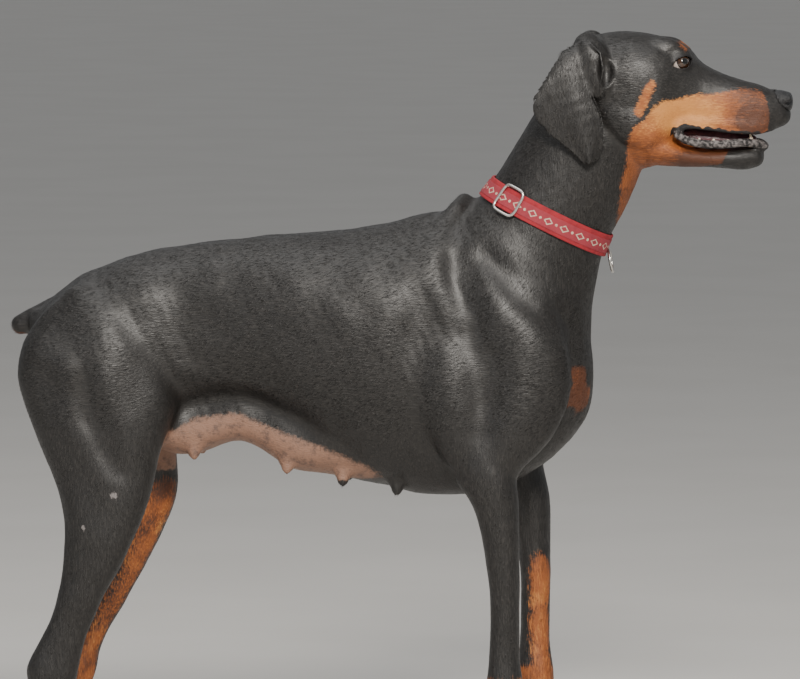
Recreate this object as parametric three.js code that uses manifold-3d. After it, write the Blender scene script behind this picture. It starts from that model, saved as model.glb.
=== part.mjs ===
// A doberman pinscher as a still, life-size model: a smooth black and rust bitch with drop ears and a
// docked tail, standing square and looking ahead with the mouth a little open, in a flat red collar.
// Millimetres, +Z up, +X towards the nose, +Y to the animal's left. The origin is on the floor, under
// the middle.
import * as THREE from "three";
import { mergeVertices } from "three/addons/utils/BufferGeometryUtils.js";
import Module from "manifold-3d";

const wasm = await Module();
wasm.setup();

// Driving dimensions
const GAP = 0.3; // kept between nodes that touch
const RIGHT = -1; // the side of the animal that faces -Y
const LEFT = 1;
const EYE_RADIUS = 11.5;
const LID = 2.2; // thickness of an eyelid
const LIP = 4.2; // radius of the rolled edge of a lip
const EAR_THICK = 3.6;
const TOES = 4;
const COLLAR_WIDE = 25;
const COLLAR_THICK = 3;
const WIRE = 1.7; // radius of the collar's steel wire

// Where the joints are, for a right leg; each left leg stands a little ahead of it
const HIND_STEP = { [RIGHT]: 0, [LEFT]: 17 };
const HOCK_BACK = { [RIGHT]: 0, [LEFT]: 13 }; // how far a hock stands behind that step
const FORE_STEP = { [RIGHT]: 0, [LEFT]: 24 };
const HIND_FETLOCK = { x: -384, y: 73, z: 46 };
const WRIST = { x: 122, y: 71, z: 122 };
const FORE_FETLOCK = { x: 126, y: 70, z: 50 };
const EYE = { x: 311, y: 26.5, z: 821.5 };
// The middle of the collar, its half sizes there, and how far its axis leans forward in degrees
const COLLAR = { x: 164.5, z: 651, deep: 73.3, wide: 63, lean: 26.4 };

const UP = new THREE.Vector3(0, 0, 1);
const FORWARD = new THREE.Vector3(1, 0, 0);

const materials = {
  coat: new THREE.MeshStandardMaterial({ color: 0x1d1b1b, roughness: 0.45, metalness: 0 }),
  rust: new THREE.MeshStandardMaterial({ color: 0x8f4c1f, roughness: 0.6, metalness: 0 }),
  leather: new THREE.MeshStandardMaterial({ color: 0x17161a, roughness: 0.35, metalness: 0 }),
  tongue: new THREE.MeshStandardMaterial({ color: 0x9c5a5c, roughness: 0.4, metalness: 0 }),
  eye: new THREE.MeshStandardMaterial({ color: 0x2e1a0d, roughness: 0.08, metalness: 0 }),
  webbing: new THREE.MeshStandardMaterial({ color: 0xb03a42, roughness: 0.8, metalness: 0 }),
  steel: new THREE.MeshStandardMaterial({ color: 0xc9c6c0, roughness: 0.25, metalness: 1 }),
};

// A station of a form: its middle, its half sizes to the side, up and down, and how square its section is.
// Up and down lie across the form: along Z for a slice, along X for a level, square to the line for a band.
function station(x, y, z, side, up, down, square) {
  return { middle: new THREE.Vector3(x, y, z), sizes: new THREE.Vector3(side, up, down), square };
}

// An upright cut across the length of the animal, by its top, bottom and widest heights.
function slice(x, top, bottom, mid, side, square = 2.2) {
  return station(x, 0, mid, side, top - mid, mid - bottom, square);
}

// A level cut through a leg, by its back and front edges.
function level(z, back, front, y, side, square = 2.2) {
  const x = (back + front) / 2;
  return station(x, y, z, side, front - x, x - back, square);
}

// A cut square to a line in the side view, by its depth across that line.
function band(x, y, z, deep, side, square = 2.1) {
  return station(x, y, z, side, deep, deep, square);
}

const bentPower = (value, square) => Math.sign(value) * Math.abs(value) ** (2 / square);

// A closed form lofted through stations, with domed ends and a number of rings to each stretch between two
// of them. across is the direction of up: a vector, or null to stay square to the line.
function loft(stations, { fine = 1, sides = 8, domeRings = 1, dome = 0.6, across = null, grow = 0 } = {}) {
  const line = new THREE.CatmullRomCurve3(stations.map((s) => s.middle), false, "catmullrom", 0.5);
  const girth = new THREE.CatmullRomCurve3(stations.map((s) => s.sizes), false, "catmullrom", 0.5);
  const rings = fine * (stations.length - 1);
  const geometry = new THREE.SphereGeometry(1, sides, rings + 2 * domeRings);
  const { position, uv } = geometry.attributes;
  const sideways = new THREE.Vector3(0, 1, 0);
  for (let i = 0; i < position.count; i++) {
    const ring = Math.round((1 - uv.getY(i)) * (rings + 2 * domeRings));
    const around = 2 * Math.PI * uv.getX(i);
    const past = Math.max(domeRings - ring, ring - rings - domeRings, 0) / domeRings;
    const t = THREE.MathUtils.clamp((ring - domeRings) / rings, 0, 1);
    const tangent = line.getTangent(t);
    const upward = across ? across.clone() : new THREE.Vector3().crossVectors(tangent, sideways).normalize();
    const size = girth.getPoint(t).addScalar(grow);
    const square = stations[Math.round(t * (stations.length - 1))].square;
    const shrink = Math.cos((past * Math.PI) / 2);
    const outward = ring < domeRings ? -1 : 1;
    const bulge = outward * Math.sin((past * Math.PI) / 2) * dome * Math.min(size.x, size.y);
    const s = bentPower(Math.cos(around), square) * size.x * shrink;
    const u = bentPower(Math.sin(around), square) * shrink;
    const point = line
      .getPoint(t)
      .addScaledVector(sideways, s)
      .addScaledVector(upward, u * (u > 0 ? size.y : size.z))
      .addScaledVector(tangent, bulge);
    position.setXYZ(i, point.x, point.y, point.z);
  }
  return geometry;
}

// A closed mesh as a solid for joining and cutting, turned the right way out.
function solid(geometry) {
  const plain = geometry.clone();
  plain.deleteAttribute("normal");
  plain.deleteAttribute("uv");
  const merged = mergeVertices(plain, 1e-3);
  const vertProperties = merged.attributes.position.array;
  const faces = [];
  for (let i = 0; i < merged.index.count; i += 3) {
    const [a, b, c] = merged.index.array.subarray(i, i + 3);
    if (a !== b && b !== c && c !== a) faces.push([a, b, c]);
  }
  const make = (list) => new wasm.Manifold(new wasm.Mesh({ numProp: 3, vertProperties, triVerts: list }));
  const made = make(Uint32Array.from(faces.flat()));
  return made.volume() > 0 ? made : make(Uint32Array.from(faces.map((face) => face.reverse()).flat()));
}

const fuse = (pieces) => pieces.reduce((whole, piece) => whole.add(piece));
const cut = (whole, tools) => tools.reduce((left, tool) => left.subtract(tool), whole);

// The largest closed surface of a solid, as a node keeps it.
function largest(whole) {
  const bodies = whole.decompose();
  return bodies.reduce((best, body) => (body.volume() > best.volume() ? body : best));
}

function ball(x, y, z, rx, ry = rx, rz = rx, { sides = 8, rings = 6 } = {}) {
  const geometry = new THREE.SphereGeometry(1, sides, rings).rotateX(Math.PI / 2).scale(rx, ry, rz);
  return solid(geometry.translate(x, y, z));
}

// Everything on one side of a plane, as a large block: the side that the normal points away from.
function halfSpace(point, normal) {
  const size = 2400;
  const geometry = new THREE.BoxGeometry(size, size, size).translate(0, 0, -size / 2);
  const turn = new THREE.Quaternion().setFromUnitVectors(UP, normal.clone().normalize());
  return solid(geometry.applyQuaternion(turn).translate(point.x, point.y, point.z));
}

// A round wire along a closed curve of points.
function wireLoop(points, radius, steps = 16) {
  const path = new THREE.CatmullRomCurve3(points, true, "catmullrom", 0.3);
  const frames = path.computeFrenetFrames(steps, true);
  const sides = 6;
  const geometry = new THREE.TorusGeometry(1, 0.1, sides, steps);
  const { position, uv } = geometry.attributes;
  for (let i = 0; i < position.count; i++) {
    const step = Math.round(uv.getX(i) * steps) % steps;
    const around = 2 * Math.PI * uv.getY(i);
    const point = path
      .getPointAt(step / steps)
      .addScaledVector(frames.normals[step], radius * Math.cos(around))
      .addScaledVector(frames.binormals[step], radius * Math.sin(around));
    position.setXYZ(i, point.x, point.y, point.z);
  }
  return solid(geometry);
}

const group = new THREE.Group();

function addNode(name, whole, material) {
  const mesh = largest(whole).getMesh();
  const geometry = new THREE.BufferGeometry();
  geometry.setAttribute("position", new THREE.BufferAttribute(Float32Array.from(mesh.vertProperties), 3));
  geometry.setIndex(new THREE.BufferAttribute(Uint32Array.from(mesh.triVerts), 1));
  geometry.computeVertexNormals();
  const node = new THREE.Mesh(geometry, material);
  node.name = name;
  group.add(node);
  return node;
}

const sideName = (side) => (side === RIGHT ? "right" : "left");

// The barrel of the body: rump, loin, ribs and forechest.
const TRUNK = [
  slice(-410, 545, 506, 526, 26),
  slice(-396, 552, 468, 518, 52),
  slice(-366, 577, 436, 518, 70),
  slice(-335, 592, 416, 522, 80),
  slice(-283, 610, 420, 530, 82, 2.4),
  slice(-228, 619, 438, 534, 78, 2.5),
  slice(-172, 626, 446, 530, 81, 2.6),
  slice(-117, 631, 424, 522, 90, 2.5),
  slice(-61, 635, 380, 512, 96, 2.3),
  slice(-6, 645, 347, 505, 98),
  slice(42, 657, 338, 498, 93),
  slice(88, 650, 341, 492, 84),
  slice(130, 622, 354, 486, 75),
  slice(168, 578, 379, 480, 62),
  slice(190, 556, 399, 476, 51),
  slice(203, 534, 417, 474, 38),
];

// The soft milk line that hangs below the flanks, with its lowest points at the teats.
const MILK_LINE = [
  slice(-290, 444, 402, 416, 36),
  slice(-262, 450, 384, 405, 45),
  slice(-236, 456, 381, 402, 48),
  slice(-208, 462, 388, 409, 48),
  slice(-180, 466, 398, 419, 47),
  slice(-150, 464, 386, 408, 49),
  slice(-118, 452, 365, 396, 54),
  slice(-80, 440, 361, 396, 57),
  slice(-30, 430, 351, 392, 56),
  slice(20, 424, 344, 390, 50),
];
const TEATS = [
  { x: -226, out: 34, z: 388 },
  { x: -122, out: 37, z: 373 },
  { x: -60, out: 38, z: 361 },
  { x: 0, out: 36, z: 351 },
];
const TEAT_STEM = [[12, 8], [0, 6], [-7, 4.5]]; // height above a teat's middle, and radius there

const trunkForm = (grow = 0) => solid(loft(TRUNK, { sides: 22, domeRings: 2, dome: 0.35, across: UP, grow }));
const bellyForm = (grow = 0) => solid(loft(MILK_LINE, { sides: 14, across: UP, grow }));

function torso() {
  const teats = [];
  for (const { x, out, z } of TEATS) {
    for (const side of [RIGHT, LEFT]) {
      const stem = TEAT_STEM.map(([rise, radius]) => band(x, side * out, z + rise, radius, radius));
      teats.push(solid(loft(stem, { sides: 6, across: FORWARD })));
    }
  }
  return fuse([trunkForm(), bellyForm(), ...teats]);
}

// The neck, from between the shoulder blades to behind the jaw.
const NECK = [
  band(96, 0, 520, 124, 80),
  band(124, 0, 578, 102, 75),
  band(143, 0, 611, 86, 69),
  band(164.5, 0, 651, 73, 62),
  band(190.5, 0, 696.5, 70.5, 59),
  band(212, 0, 742, 66, 56),
  band(226, 0, 785, 56, 50),
];
const neckForm = (grow = 0) => solid(loft(NECK, { sides: 20, grow }));

// The skull with the bridge and upper lips of the muzzle.
const SKULL = [
  slice(184, 832, 752, 792, 30),
  slice(199, 845, 724, 793, 48),
  slice(222, 852.5, 707, 797, 56),
  slice(250, 855.5, 703, 798, 59, 2.4),
  slice(276, 853, 704, 795, 58, 2.4),
  slice(293, 848.5, 713, 792, 54, 2.4),
  slice(308, 845, 736, 789, 46, 2.4),
  slice(322, 836, 747, 782, 40, 2.2),
  slice(334, 822, 748, 776, 36, 2.3),
  slice(352, 811.5, 745, 771, 33, 2.6),
  slice(374, 803.5, 741.5, 768, 31, 2.8),
  slice(396, 797.5, 741, 767, 28, 2.7),
  slice(412, 791.5, 746, 768, 24, 2.4),
  slice(422, 788, 752, 769, 19, 2.2),
];
const skullForm = (grow = 0) => solid(loft(SKULL, { sides: 18, domeRings: 2, dome: 0.35, across: UP, grow }));

// The lower jaw, from the angle of the jaw to the chin.
const JAW = [
  slice(276, 748, 707, 728, 44),
  slice(296, 744, 706, 726, 42),
  slice(317, 732, 705, 719, 36),
  slice(340, 727, 705, 716, 31),
  slice(362, 728, 703.5, 716, 27),
  slice(382, 730, 702, 716, 23),
  slice(396, 728, 706, 717, 17),
];
const jawForm = (grow = 0) => solid(loft(JAW, { sides: 12, domeRings: 2, dome: 0.5, across: UP, grow }));

// Where the edges of the lips run, on one side of the mouth.
const UPPER_LIP = [
  [300, 41, 747],
  [318, 37, 752],
  [345, 31.5, 748],
  [372, 28.5, 744.5],
  [396, 24, 744],
  [410, 15, 748],
  [415, 0, 752],
];
const LOWER_LIP = [
  [300, 41, 741],
  [316, 36.5, 732.5],
  [338, 31.5, 727.5],
  [362, 27, 728],
  [382, 22, 729],
  [396, 13, 728],
  [401, 0, 726],
];
const lipPoints = (edge, side) => edge.map(([x, y, z]) => new THREE.Vector3(x, side * y, z));

function lipRoll(edge, radius) {
  const path = [...lipPoints(edge, RIGHT), ...lipPoints(edge, LEFT).reverse().slice(1)];
  const line = new THREE.CatmullRomCurve3(path, false, "catmullrom", 0.5);
  const steps = 24;
  const sides = 6;
  const frames = line.computeFrenetFrames(steps, false);
  const geometry = new THREE.SphereGeometry(1, sides, steps + 2);
  const { position, uv } = geometry.attributes;
  for (let i = 0; i < position.count; i++) {
    const ring = Math.round((1 - uv.getY(i)) * (steps + 2));
    const step = THREE.MathUtils.clamp(ring - 1, 0, steps);
    const around = 2 * Math.PI * uv.getX(i);
    const here = ring === 0 || ring === steps + 2 ? 0 : radius;
    const point = line
      .getPoint(step / steps)
      .addScaledVector(frames.normals[step], here * Math.cos(around))
      .addScaledVector(frames.binormals[step], here * Math.sin(around));
    position.setXYZ(i, point.x, point.y, point.z);
  }
  return solid(geometry);
}

// A tooth that stands on a jaw: root and tip, and how thick it is at the gum.
function tooth(root, tip, thick) {
  const middle = root.clone().lerp(tip, 0.5);
  const rows = [root, middle, tip].map(({ x, y, z }, i) => {
    const radius = thick * (1 - 0.36 * i);
    return band(x, y, z, radius, radius);
  });
  return solid(loft(rows, { sides: 5, dome: 0.8 }));
}

// The teeth of one jaw: cheek teeth, a fang on each side, and small cutting teeth between them.
function teeth({ gum, height, arch, upward }) {
  const made = [];
  const point = (x, y, z) => new THREE.Vector3(x, y, z);
  const lift = upward ? 1 : -1;
  const cheekTeeth = 3;
  for (const side of [RIGHT, LEFT]) {
    for (let i = 0; i < cheekTeeth; i++) {
      const share = i / (cheekTeeth - 1);
      const x = THREE.MathUtils.lerp(arch.back, arch.fang - 11, share);
      const y = side * THREE.MathUtils.lerp(arch.backWide, arch.fangWide, share);
      const tall = height * THREE.MathUtils.lerp(0.85, 0.5, share);
      made.push(tooth(point(x, y, gum - lift * 7), point(x + 1, y, gum + lift * tall), 3.6));
    }
    const fangRoot = point(arch.fang, side * arch.fangWide, gum - lift * 7);
    const fangTip = point(arch.fang + 1, side * (arch.fangWide + 1), gum + lift * height * 1.5);
    made.push(tooth(fangRoot, fangTip, 3.8));
    for (const [i, y] of [3, 8.6].entries()) {
      const x = arch.front - i * i * 1.1;
      made.push(tooth(point(x - 1, side * y, gum - lift * 7), point(x, side * y, gum + lift * 4.5), 2.4));
    }
  }
  return made;
}

const LOWER_TEETH = {
  gum: 725,
  height: 7,
  upward: true,
  arch: { back: 322, backWide: 25, fang: 378, fangWide: 15.5, front: 390 },
};
const UPPER_TEETH = {
  gum: 757,
  height: 7,
  upward: false,
  arch: { back: 322, backWide: 27, fang: 388, fangWide: 16.5, front: 401 },
};

// The hollow of the mouth, between the palate and the floor of the jaw.
const MOUTH = [
  slice(304, 752, 736, 744, 33),
  slice(320, 757, 729, 744, 30),
  slice(345, 757, 724, 741, 26),
  slice(372, 755, 724, 739, 22),
  slice(388, 753, 725, 738, 17),
];
const mouthForm = () => solid(loft(MOUTH, { sides: 12, domeRings: 2, dome: 0.5, across: UP }));

// Where an eye looks: outward and a little ahead.
const eyeAim = (side) => new THREE.Vector3(0.58, side, 0.06).normalize();

// The opening between the lids, an almond seen along the eye's aim and tilted up at the back.
function lidOpening(side, wide = 10.2, high = 5.6) {
  const almond = new THREE.Shape();
  almond.moveTo(-wide, 0);
  almond.quadraticCurveTo(-wide * 0.1, high * 2, wide, -1);
  almond.quadraticCurveTo(0, -high * 1.7, -wide, 0);
  const geometry = new THREE.ExtrudeGeometry(almond, { depth: 30, bevelEnabled: false, curveSegments: 5 });
  const aim = eyeAim(side);
  const forward = new THREE.Vector3().crossVectors(aim, UP).multiplyScalar(-side).normalize();
  const upward = new THREE.Vector3().crossVectors(aim, forward).multiplyScalar(side).normalize();
  const tilt = THREE.MathUtils.degToRad(-14);
  const along = forward.clone().multiplyScalar(Math.cos(tilt)).addScaledVector(upward, Math.sin(tilt));
  const over = new THREE.Vector3().crossVectors(aim, along).multiplyScalar(side).normalize();
  const place = new THREE.Matrix4().makeBasis(along, over, aim).setPosition(EYE.x, side * EYE.y, EYE.z);
  return solid(geometry.applyMatrix4(place));
}

function eyeBall(side, radius) {
  return ball(EYE.x, side * EYE.y, EYE.z, radius, radius, radius, { sides: 14, rings: 9 });
}

// The bones and muscles that show on one side of the head.
function headRelief(side) {
  const brow = [
    band(288, side * 27, 838, 12, 12),
    band(303, side * 27, 836.5, 11, 11),
    band(316, side * 22, 829, 9, 10),
  ];
  const jawMuscle = [
    band(238, side * 42, 772, 24, 16),
    band(260, side * 43, 756, 27, 17),
    band(282, side * 40, 743, 21, 13),
  ];
  return [brow, jawMuscle].map((rows) => solid(loft(rows, { fine: 2, sides: 9, dome: 0.9 })));
}

function head() {
  const lids = [RIGHT, LEFT].map((side) => eyeBall(side, EYE_RADIUS + LID));
  const relief = [...headRelief(RIGHT), ...headRelief(LEFT)];
  const hollows = [mouthForm(), noseForm(GAP)];
  for (const side of [RIGHT, LEFT]) hollows.push(eyeBall(side, EYE_RADIUS + GAP), lidOpening(side));
  const flesh = fuse([skullForm(), lipRoll(UPPER_LIP, LIP), ...lids, ...relief]);
  return fuse([cut(flesh, hollows), ...teeth(UPPER_TEETH)]);
}

function lowerJaw() {
  const flesh = fuse([jawForm(), lipRoll(LOWER_LIP, LIP)]);
  const open = cut(flesh, [mouthForm()]);
  const standing = fuse([open, ...teeth(LOWER_TEETH)]);
  const skull = [skullForm(GAP), lipRoll(UPPER_LIP, LIP + GAP)];
  return cut(standing, [...skull, ...headRelief(RIGHT), ...headRelief(LEFT), tongueForm(GAP)]);
}

// The tongue lies on the floor of the mouth.
const TONGUE = [
  slice(312, 740, 728, 733, 17),
  slice(335, 739, 727, 733, 17),
  slice(358, 737, 726, 731, 14),
  slice(370, 734, 727, 729.5, 8),
];
const tongueForm = (grow = 0) => solid(loft(TONGUE, { sides: 9, across: UP, grow }));

// The nose leather, broad above and narrowing to the split of the lip, with its nostrils.
function noseForm(grow = 0) {
  const pad = [
    slice(415, 788.5, 762, 776, 15, 2.3),
    slice(425, 790, 759, 776, 17.5, 2.3),
    slice(432, 787, 761, 775, 16, 2.3),
  ];
  return solid(loft(pad, { fine: 1, sides: 14, domeRings: 2, dome: 0.42, across: UP, grow }));
}

function nose() {
  const nostrils = [];
  for (const side of [RIGHT, LEFT]) {
    const bore = [
      band(447, side * 6.5, 775, 4, 3.6),
      band(438, side * 8.5, 775, 3.4, 3.2),
      band(432, side * 14.5, 773, 1.8, 2.2),
      band(427, side * 21, 770, 1.4, 2),
    ];
    nostrils.push(solid(loft(bore, { sides: 6 })));
  }
  return cut(noseForm(), nostrils);
}

// The outline of a hanging ear: height, back edge, front edge and how far out it hangs.
const EAR = [
  { z: 842, back: 193, front: 213, out: 47 },
  { z: 836, back: 184, front: 214, out: 55 },
  { z: 822, back: 175, front: 211, out: 62 },
  { z: 802, back: 163, front: 214, out: 66 },
  { z: 782, back: 152, front: 221, out: 68 },
  { z: 764, back: 154, front: 228, out: 68.5 },
  { z: 746, back: 168, front: 231, out: 68 },
  { z: 730, back: 188, front: 230, out: 67 },
  { z: 718, back: 201, front: 226, out: 66.5 },
  { z: 711, back: 208, front: 219, out: 66 },
];

// A thin flap with the same triangles on both faces, so that the faces never cross.
function earFlap(side) {
  const rows = 12;
  const columns = 6;
  const heights = (key) => EAR.map((row) => new THREE.Vector3(row.z, row[key], 0));
  const curve = (key) => new THREE.CatmullRomCurve3(heights(key), false, "catmullrom", 0.5);
  const [back, front, out] = [curve("back"), curve("front"), curve("out")];
  const geometry = new THREE.BoxGeometry(1, 1, 1, columns, 1, rows);
  const { position } = geometry.attributes;
  for (let i = 0; i < position.count; i++) {
    const across = position.getX(i) + 0.5;
    const outer = position.getY(i) > 0 ? 1 : -1;
    const t = 0.5 - position.getZ(i);
    const z = back.getPoint(t).x;
    const x = THREE.MathUtils.lerp(back.getPoint(t).y, front.getPoint(t).y, across);
    const rounded = Math.sin(Math.PI * across);
    const lie = out.getPoint(t).y + 3 * rounded - 3.5 * across;
    const thick = EAR_THICK * (0.42 + 0.58 * rounded ** 0.5);
    position.setXYZ(i, x, side * (lie + (outer * thick) / 2), z);
  }
  return solid(geometry);
}

// The cup of the ear: a short hood rooted on the skull, open to the front above the flap's front edge.
function earCup(side) {
  const hood = [
    band(210, side * 38, 840, 15, 12),
    band(214, side * 50, 832, 17, 12),
    band(219, side * 56, 815, 18, 9),
    band(222, side * 58, 797, 13, 6),
  ];
  const hollow = [
    band(233, side * 63, 826, 8, 8),
    band(234, side * 63, 814, 9, 9),
    band(233, side * 64, 800, 6, 7),
  ];
  const shell = solid(loft(hood, { sides: 10 }));
  return cut(shell, [solid(loft(hollow, { sides: 8, across: FORWARD }))]);
}

function ear(side) {
  const root = [skullForm(GAP), neckForm(GAP), ...headRelief(side)];
  return cut(fuse([earCup(side), earFlap(side)]), root);
}

// The docked tail: a short, blunt stump that carries on the slope of the croup.
function tail() {
  const rows = [band(-383, 0, 541, 19, 18), band(-407, 0, 532, 15.5, 15), band(-427, 0, 525, 12.5, 12)];
  const stump = solid(loft(rows, { sides: 12, domeRings: 2, dome: 0.8 }));
  return cut(stump, [trunkForm(GAP), thigh(RIGHT, GAP), thigh(LEFT, GAP)]);
}

// The thigh and second thigh of a right hind leg, down to above the hock, by level cuts.
const THIGH = [
  level(562, -372, -316, 52, 22),
  level(540, -396, -286, 54, 34),
  level(510, -415, -264, 57, 41, 2.4),
  level(478, -421, -250, 58, 42, 2.4),
  level(446, -414, -242, 60, 41, 2.4),
  level(418, -404, -249, 63, 39, 2.4),
  level(392, -394, -258, 66, 36),
  level(366, -383, -264, 70, 32),
  level(340, -374, -270, 73, 30),
  level(318, -369, -278, 75, 28),
  level(296, -367, -287, 77, 26),
  level(264, -369, -302, 78, 23),
  level(233, -374, -320, 78, 20),
  level(203, -384, -334, 77, 17),
  level(176, -398, -344, 76, 17),
  level(152, -410, -350, 75, 19),
  level(136, -410, -353, 74.5, 19.5),
  level(118, -406, -358, 74, 18),
  level(98, -403, -365, 73.5, 16),
  level(72, -401, -367, 73, 16),
  level(50, -402, -364, 73, 19),
];

function shifted(rows, side, step, floor, ceiling) {
  return rows.map((row) => {
    const { x, y, z } = row.middle;
    const share = THREE.MathUtils.clamp((ceiling - z) / (ceiling - floor), 0, 1);
    return { ...row, middle: new THREE.Vector3(x + step * share, side * y, z) };
  });
}

function thigh(side, grow = 0) {
  const ahead = shifted(THIGH, side, HIND_STEP[side], 330, 400);
  const rows = shifted(ahead, 1, -HOCK_BACK[side], 150, 215);
  return solid(loft(rows, { sides: 14, dome: 0.7, across: FORWARD, grow }));
}

// The forearm, wrist and pastern of a right fore leg, by level cuts.
const FOREARM = [
  level(392, 70, 130, 76, 25),
  level(372, 70, 135, 77, 27),
  level(350, 77, 138, 77, 27),
  level(325, 89, 140, 76, 25),
  level(288, 99, 140, 75, 23),
  level(245, 104, 140, 73, 20.5),
  level(205, 105, 140, 72, 18.5),
  level(165, 104, 140, 71.5, 18),
  level(138, 101, 143, 71, 21),
  level(118, 100, 144, 71, 21),
  level(100, 103, 143, 70.5, 19),
  level(76, 106, 144, 70, 18.5),
  level(54, 107, 148, 70, 21),
];

// The shoulder blade, upper arm and the muscles between them and the elbow.
function shoulder(side) {
  const place = (x, y, z, deep, wide) => band(x, side * y, z, deep, wide);
  const bladeAndArm = [
    place(64, 34, 618, 34, 20),
    place(88, 52, 578, 54, 28),
    place(116, 62, 530, 64, 33),
    place(136, 67, 482, 62, 33),
    place(134, 71, 440, 54, 30),
    place(112, 74, 400, 42, 28),
    place(96, 76, 362, 32, 25),
  ];
  const backArm = [
    place(68, 58, 560, 24, 20),
    place(62, 70, 502, 40, 27),
    place(64, 75, 442, 40, 27),
    place(84, 77, 386, 26, 20),
  ];
  const elbowTip = [place(86, 80, 380, 12, 11), place(78, 81, 364, 8, 8)];
  return [bladeAndArm, backArm, elbowTip];
}

function foreLeg(side) {
  const step = FORE_STEP[side];
  const arm = shifted(FOREARM, side, step, 330, 520);
  const pieces = [solid(loft(arm, { sides: 14, dome: 0.8, across: FORWARD }))];
  for (const rows of shoulder(side)) {
    const moved = shifted(rows, 1, step, 330, 520);
    pieces.push(solid(loft(moved, { fine: 2, sides: 9, dome: 0.9 })));
  }
  const padUnderWrist = ball(WRIST.x - 18 + step, side * WRIST.y, WRIST.z - 14, 8, 9, 10);
  return fuse([...pieces, padUnderWrist]);
}

// A foot's own sizes: how far apart its toes stand, and how far they reach ahead of the leg.
const FORE_FOOT = { toeGap: 15.5, reach: 46 };
const HIND_FOOT = { toeGap: 14, reach: 42 };
const TOE_WIDE = 8.4; // half the width of a toe
const MIDDLE_LEAD = 9; // how far the middle toes stand ahead of the outer ones
const SUNK = -1; // forms that stand on the floor reach this far under it, and are cut off there

// The toes of a foot in order across it, with the middle pair further ahead.
function toePlaces(foot) {
  const places = [];
  for (let i = 0; i < TOES; i++) {
    const out = i - (TOES - 1) / 2;
    const lead = Math.abs(out) < 1 ? MIDDLE_LEAD : 0;
    places.push({ out: out * foot.toeGap, tip: foot.reach - MIDDLE_LEAD + lead, splay: out * 0.07 });
  }
  return places;
}

// An arched toe, from inside the foot over its knuckle to the floor.
function toe(at, { out, tip, splay }) {
  const cuts = [
    { back: 44, top: 42, bottom: 14, wide: 0.9 },
    { back: 26, top: 43, bottom: 4, wide: 1 },
    { back: 10, top: 36, bottom: SUNK, wide: 1 },
    { back: 0, top: 24, bottom: SUNK, wide: 0.82 },
  ];
  const rows = cuts.map(({ back, top, bottom, wide }) => {
    const x = tip - back;
    const half = (top - bottom) / 2;
    return station(at.x + x, at.y + out + splay * x, bottom + half, wide * TOE_WIDE, half, half, 2.5);
  });
  return solid(loft(rows, { sides: 8, dome: 0.8, across: UP }));
}

function claw(at, { out, tip, splay }) {
  const rows = [
    { ahead: -6, z: 14, thick: 4.2 },
    { ahead: 8, z: 12.5, thick: 3.8 },
    { ahead: 16, z: 5.5, thick: 2 },
  ].map(({ ahead, z, thick }) => {
    const x = tip + ahead;
    return band(at.x + x, at.y + out + splay * x, z, thick, thick * 0.75);
  });
  return solid(loft(rows, { sides: 5, dome: 0.7 }));
}

function paw(at, foot) {
  const palm = [
    level(at.z, at.x - 18, at.x + 17, at.y, 18),
    level(30, at.x - 19, at.x + 22, at.y, 21),
    level(12, at.x - 17, at.x + 24, at.y, 23),
    level(SUNK, at.x - 12, at.x + 20, at.y, 18),
  ];
  const places = toePlaces(foot);
  const toes = places.map((place) => toe(at, place));
  const claws = places.map((place) => claw(at, place));
  const wholePaw = fuse([solid(loft(palm, { sides: 12, dome: 0.1, across: FORWARD })), ...toes, ...claws]);
  return wholePaw.intersect(halfSpace(new THREE.Vector3(), UP.clone().negate()));
}

function addFoot(kind, side, fetlock, step, foot, leg) {
  const at = { x: fetlock.x + step, y: side * fetlock.y, z: fetlock.z };
  const seam = at.z + 6;
  const ankle = new THREE.Vector3(at.x, at.y, seam);
  const below = halfSpace(ankle.clone().setZ(seam - GAP / 2), UP);
  const above = halfSpace(ankle.clone().setZ(seam + GAP / 2), UP.clone().negate());
  const whole = fuse([leg, paw(at, foot)]);
  addNode(`${kind}_paw_${sideName(side)}`, whole.intersect(below), materials.rust);
  return whole.intersect(above);
}

// The collar: flat webbing round the neck, cut from a slightly larger neck between two planes.
const lean = THREE.MathUtils.degToRad(COLLAR.lean);
const collarAxis = new THREE.Vector3(Math.sin(lean), 0, Math.cos(lean));
const collarMiddle = new THREE.Vector3(COLLAR.x, 0, COLLAR.z);

function collar() {
  const half = COLLAR_WIDE / 2;
  const lower = halfSpace(collarMiddle.clone().addScaledVector(collarAxis, half), collarAxis);
  const downward = collarAxis.clone().negate();
  const upper = halfSpace(collarMiddle.clone().addScaledVector(downward, half), downward);
  const webbing = cut(neckForm(GAP + COLLAR_THICK), [neckForm(GAP)]);
  return webbing.intersect(lower).intersect(upper);
}

// A point on the collar: around is 0 at the throat and 90 degrees on the given side; out is past the webbing.
function onCollar(around, out, along) {
  const angle = THREE.MathUtils.degToRad(around);
  const across = new THREE.Vector3(collarAxis.z, 0, -collarAxis.x);
  const deep = COLLAR.deep + out;
  const wide = COLLAR.wide + out;
  return collarMiddle
    .clone()
    .addScaledVector(across, deep * Math.cos(angle))
    .add(new THREE.Vector3(0, -wide * Math.sin(angle), 0))
    .addScaledVector(collarAxis, along);
}

const fittingOut = COLLAR_THICK + GAP + WIRE; // from the neck to the middle of a fitting's wire
const besideWebbing = (wire) => cut(wire, [neckForm(COLLAR_THICK + 2 * GAP)]);

// The steel slide that doubles the webbing back, on the right side of the neck.
function collarSlide() {
  const place = 128;
  const reach = 11;
  const high = 15.5;
  const ways = [[-1, -1], [0, -1], [1, -1], [1, 0], [1, 1], [0, 1], [-1, 1], [-1, 0]];
  const points = ways.map(([turn, along]) => onCollar(place + turn * reach, fittingOut, along * high));
  return besideWebbing(wireLoop(points, WIRE));
}

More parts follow.
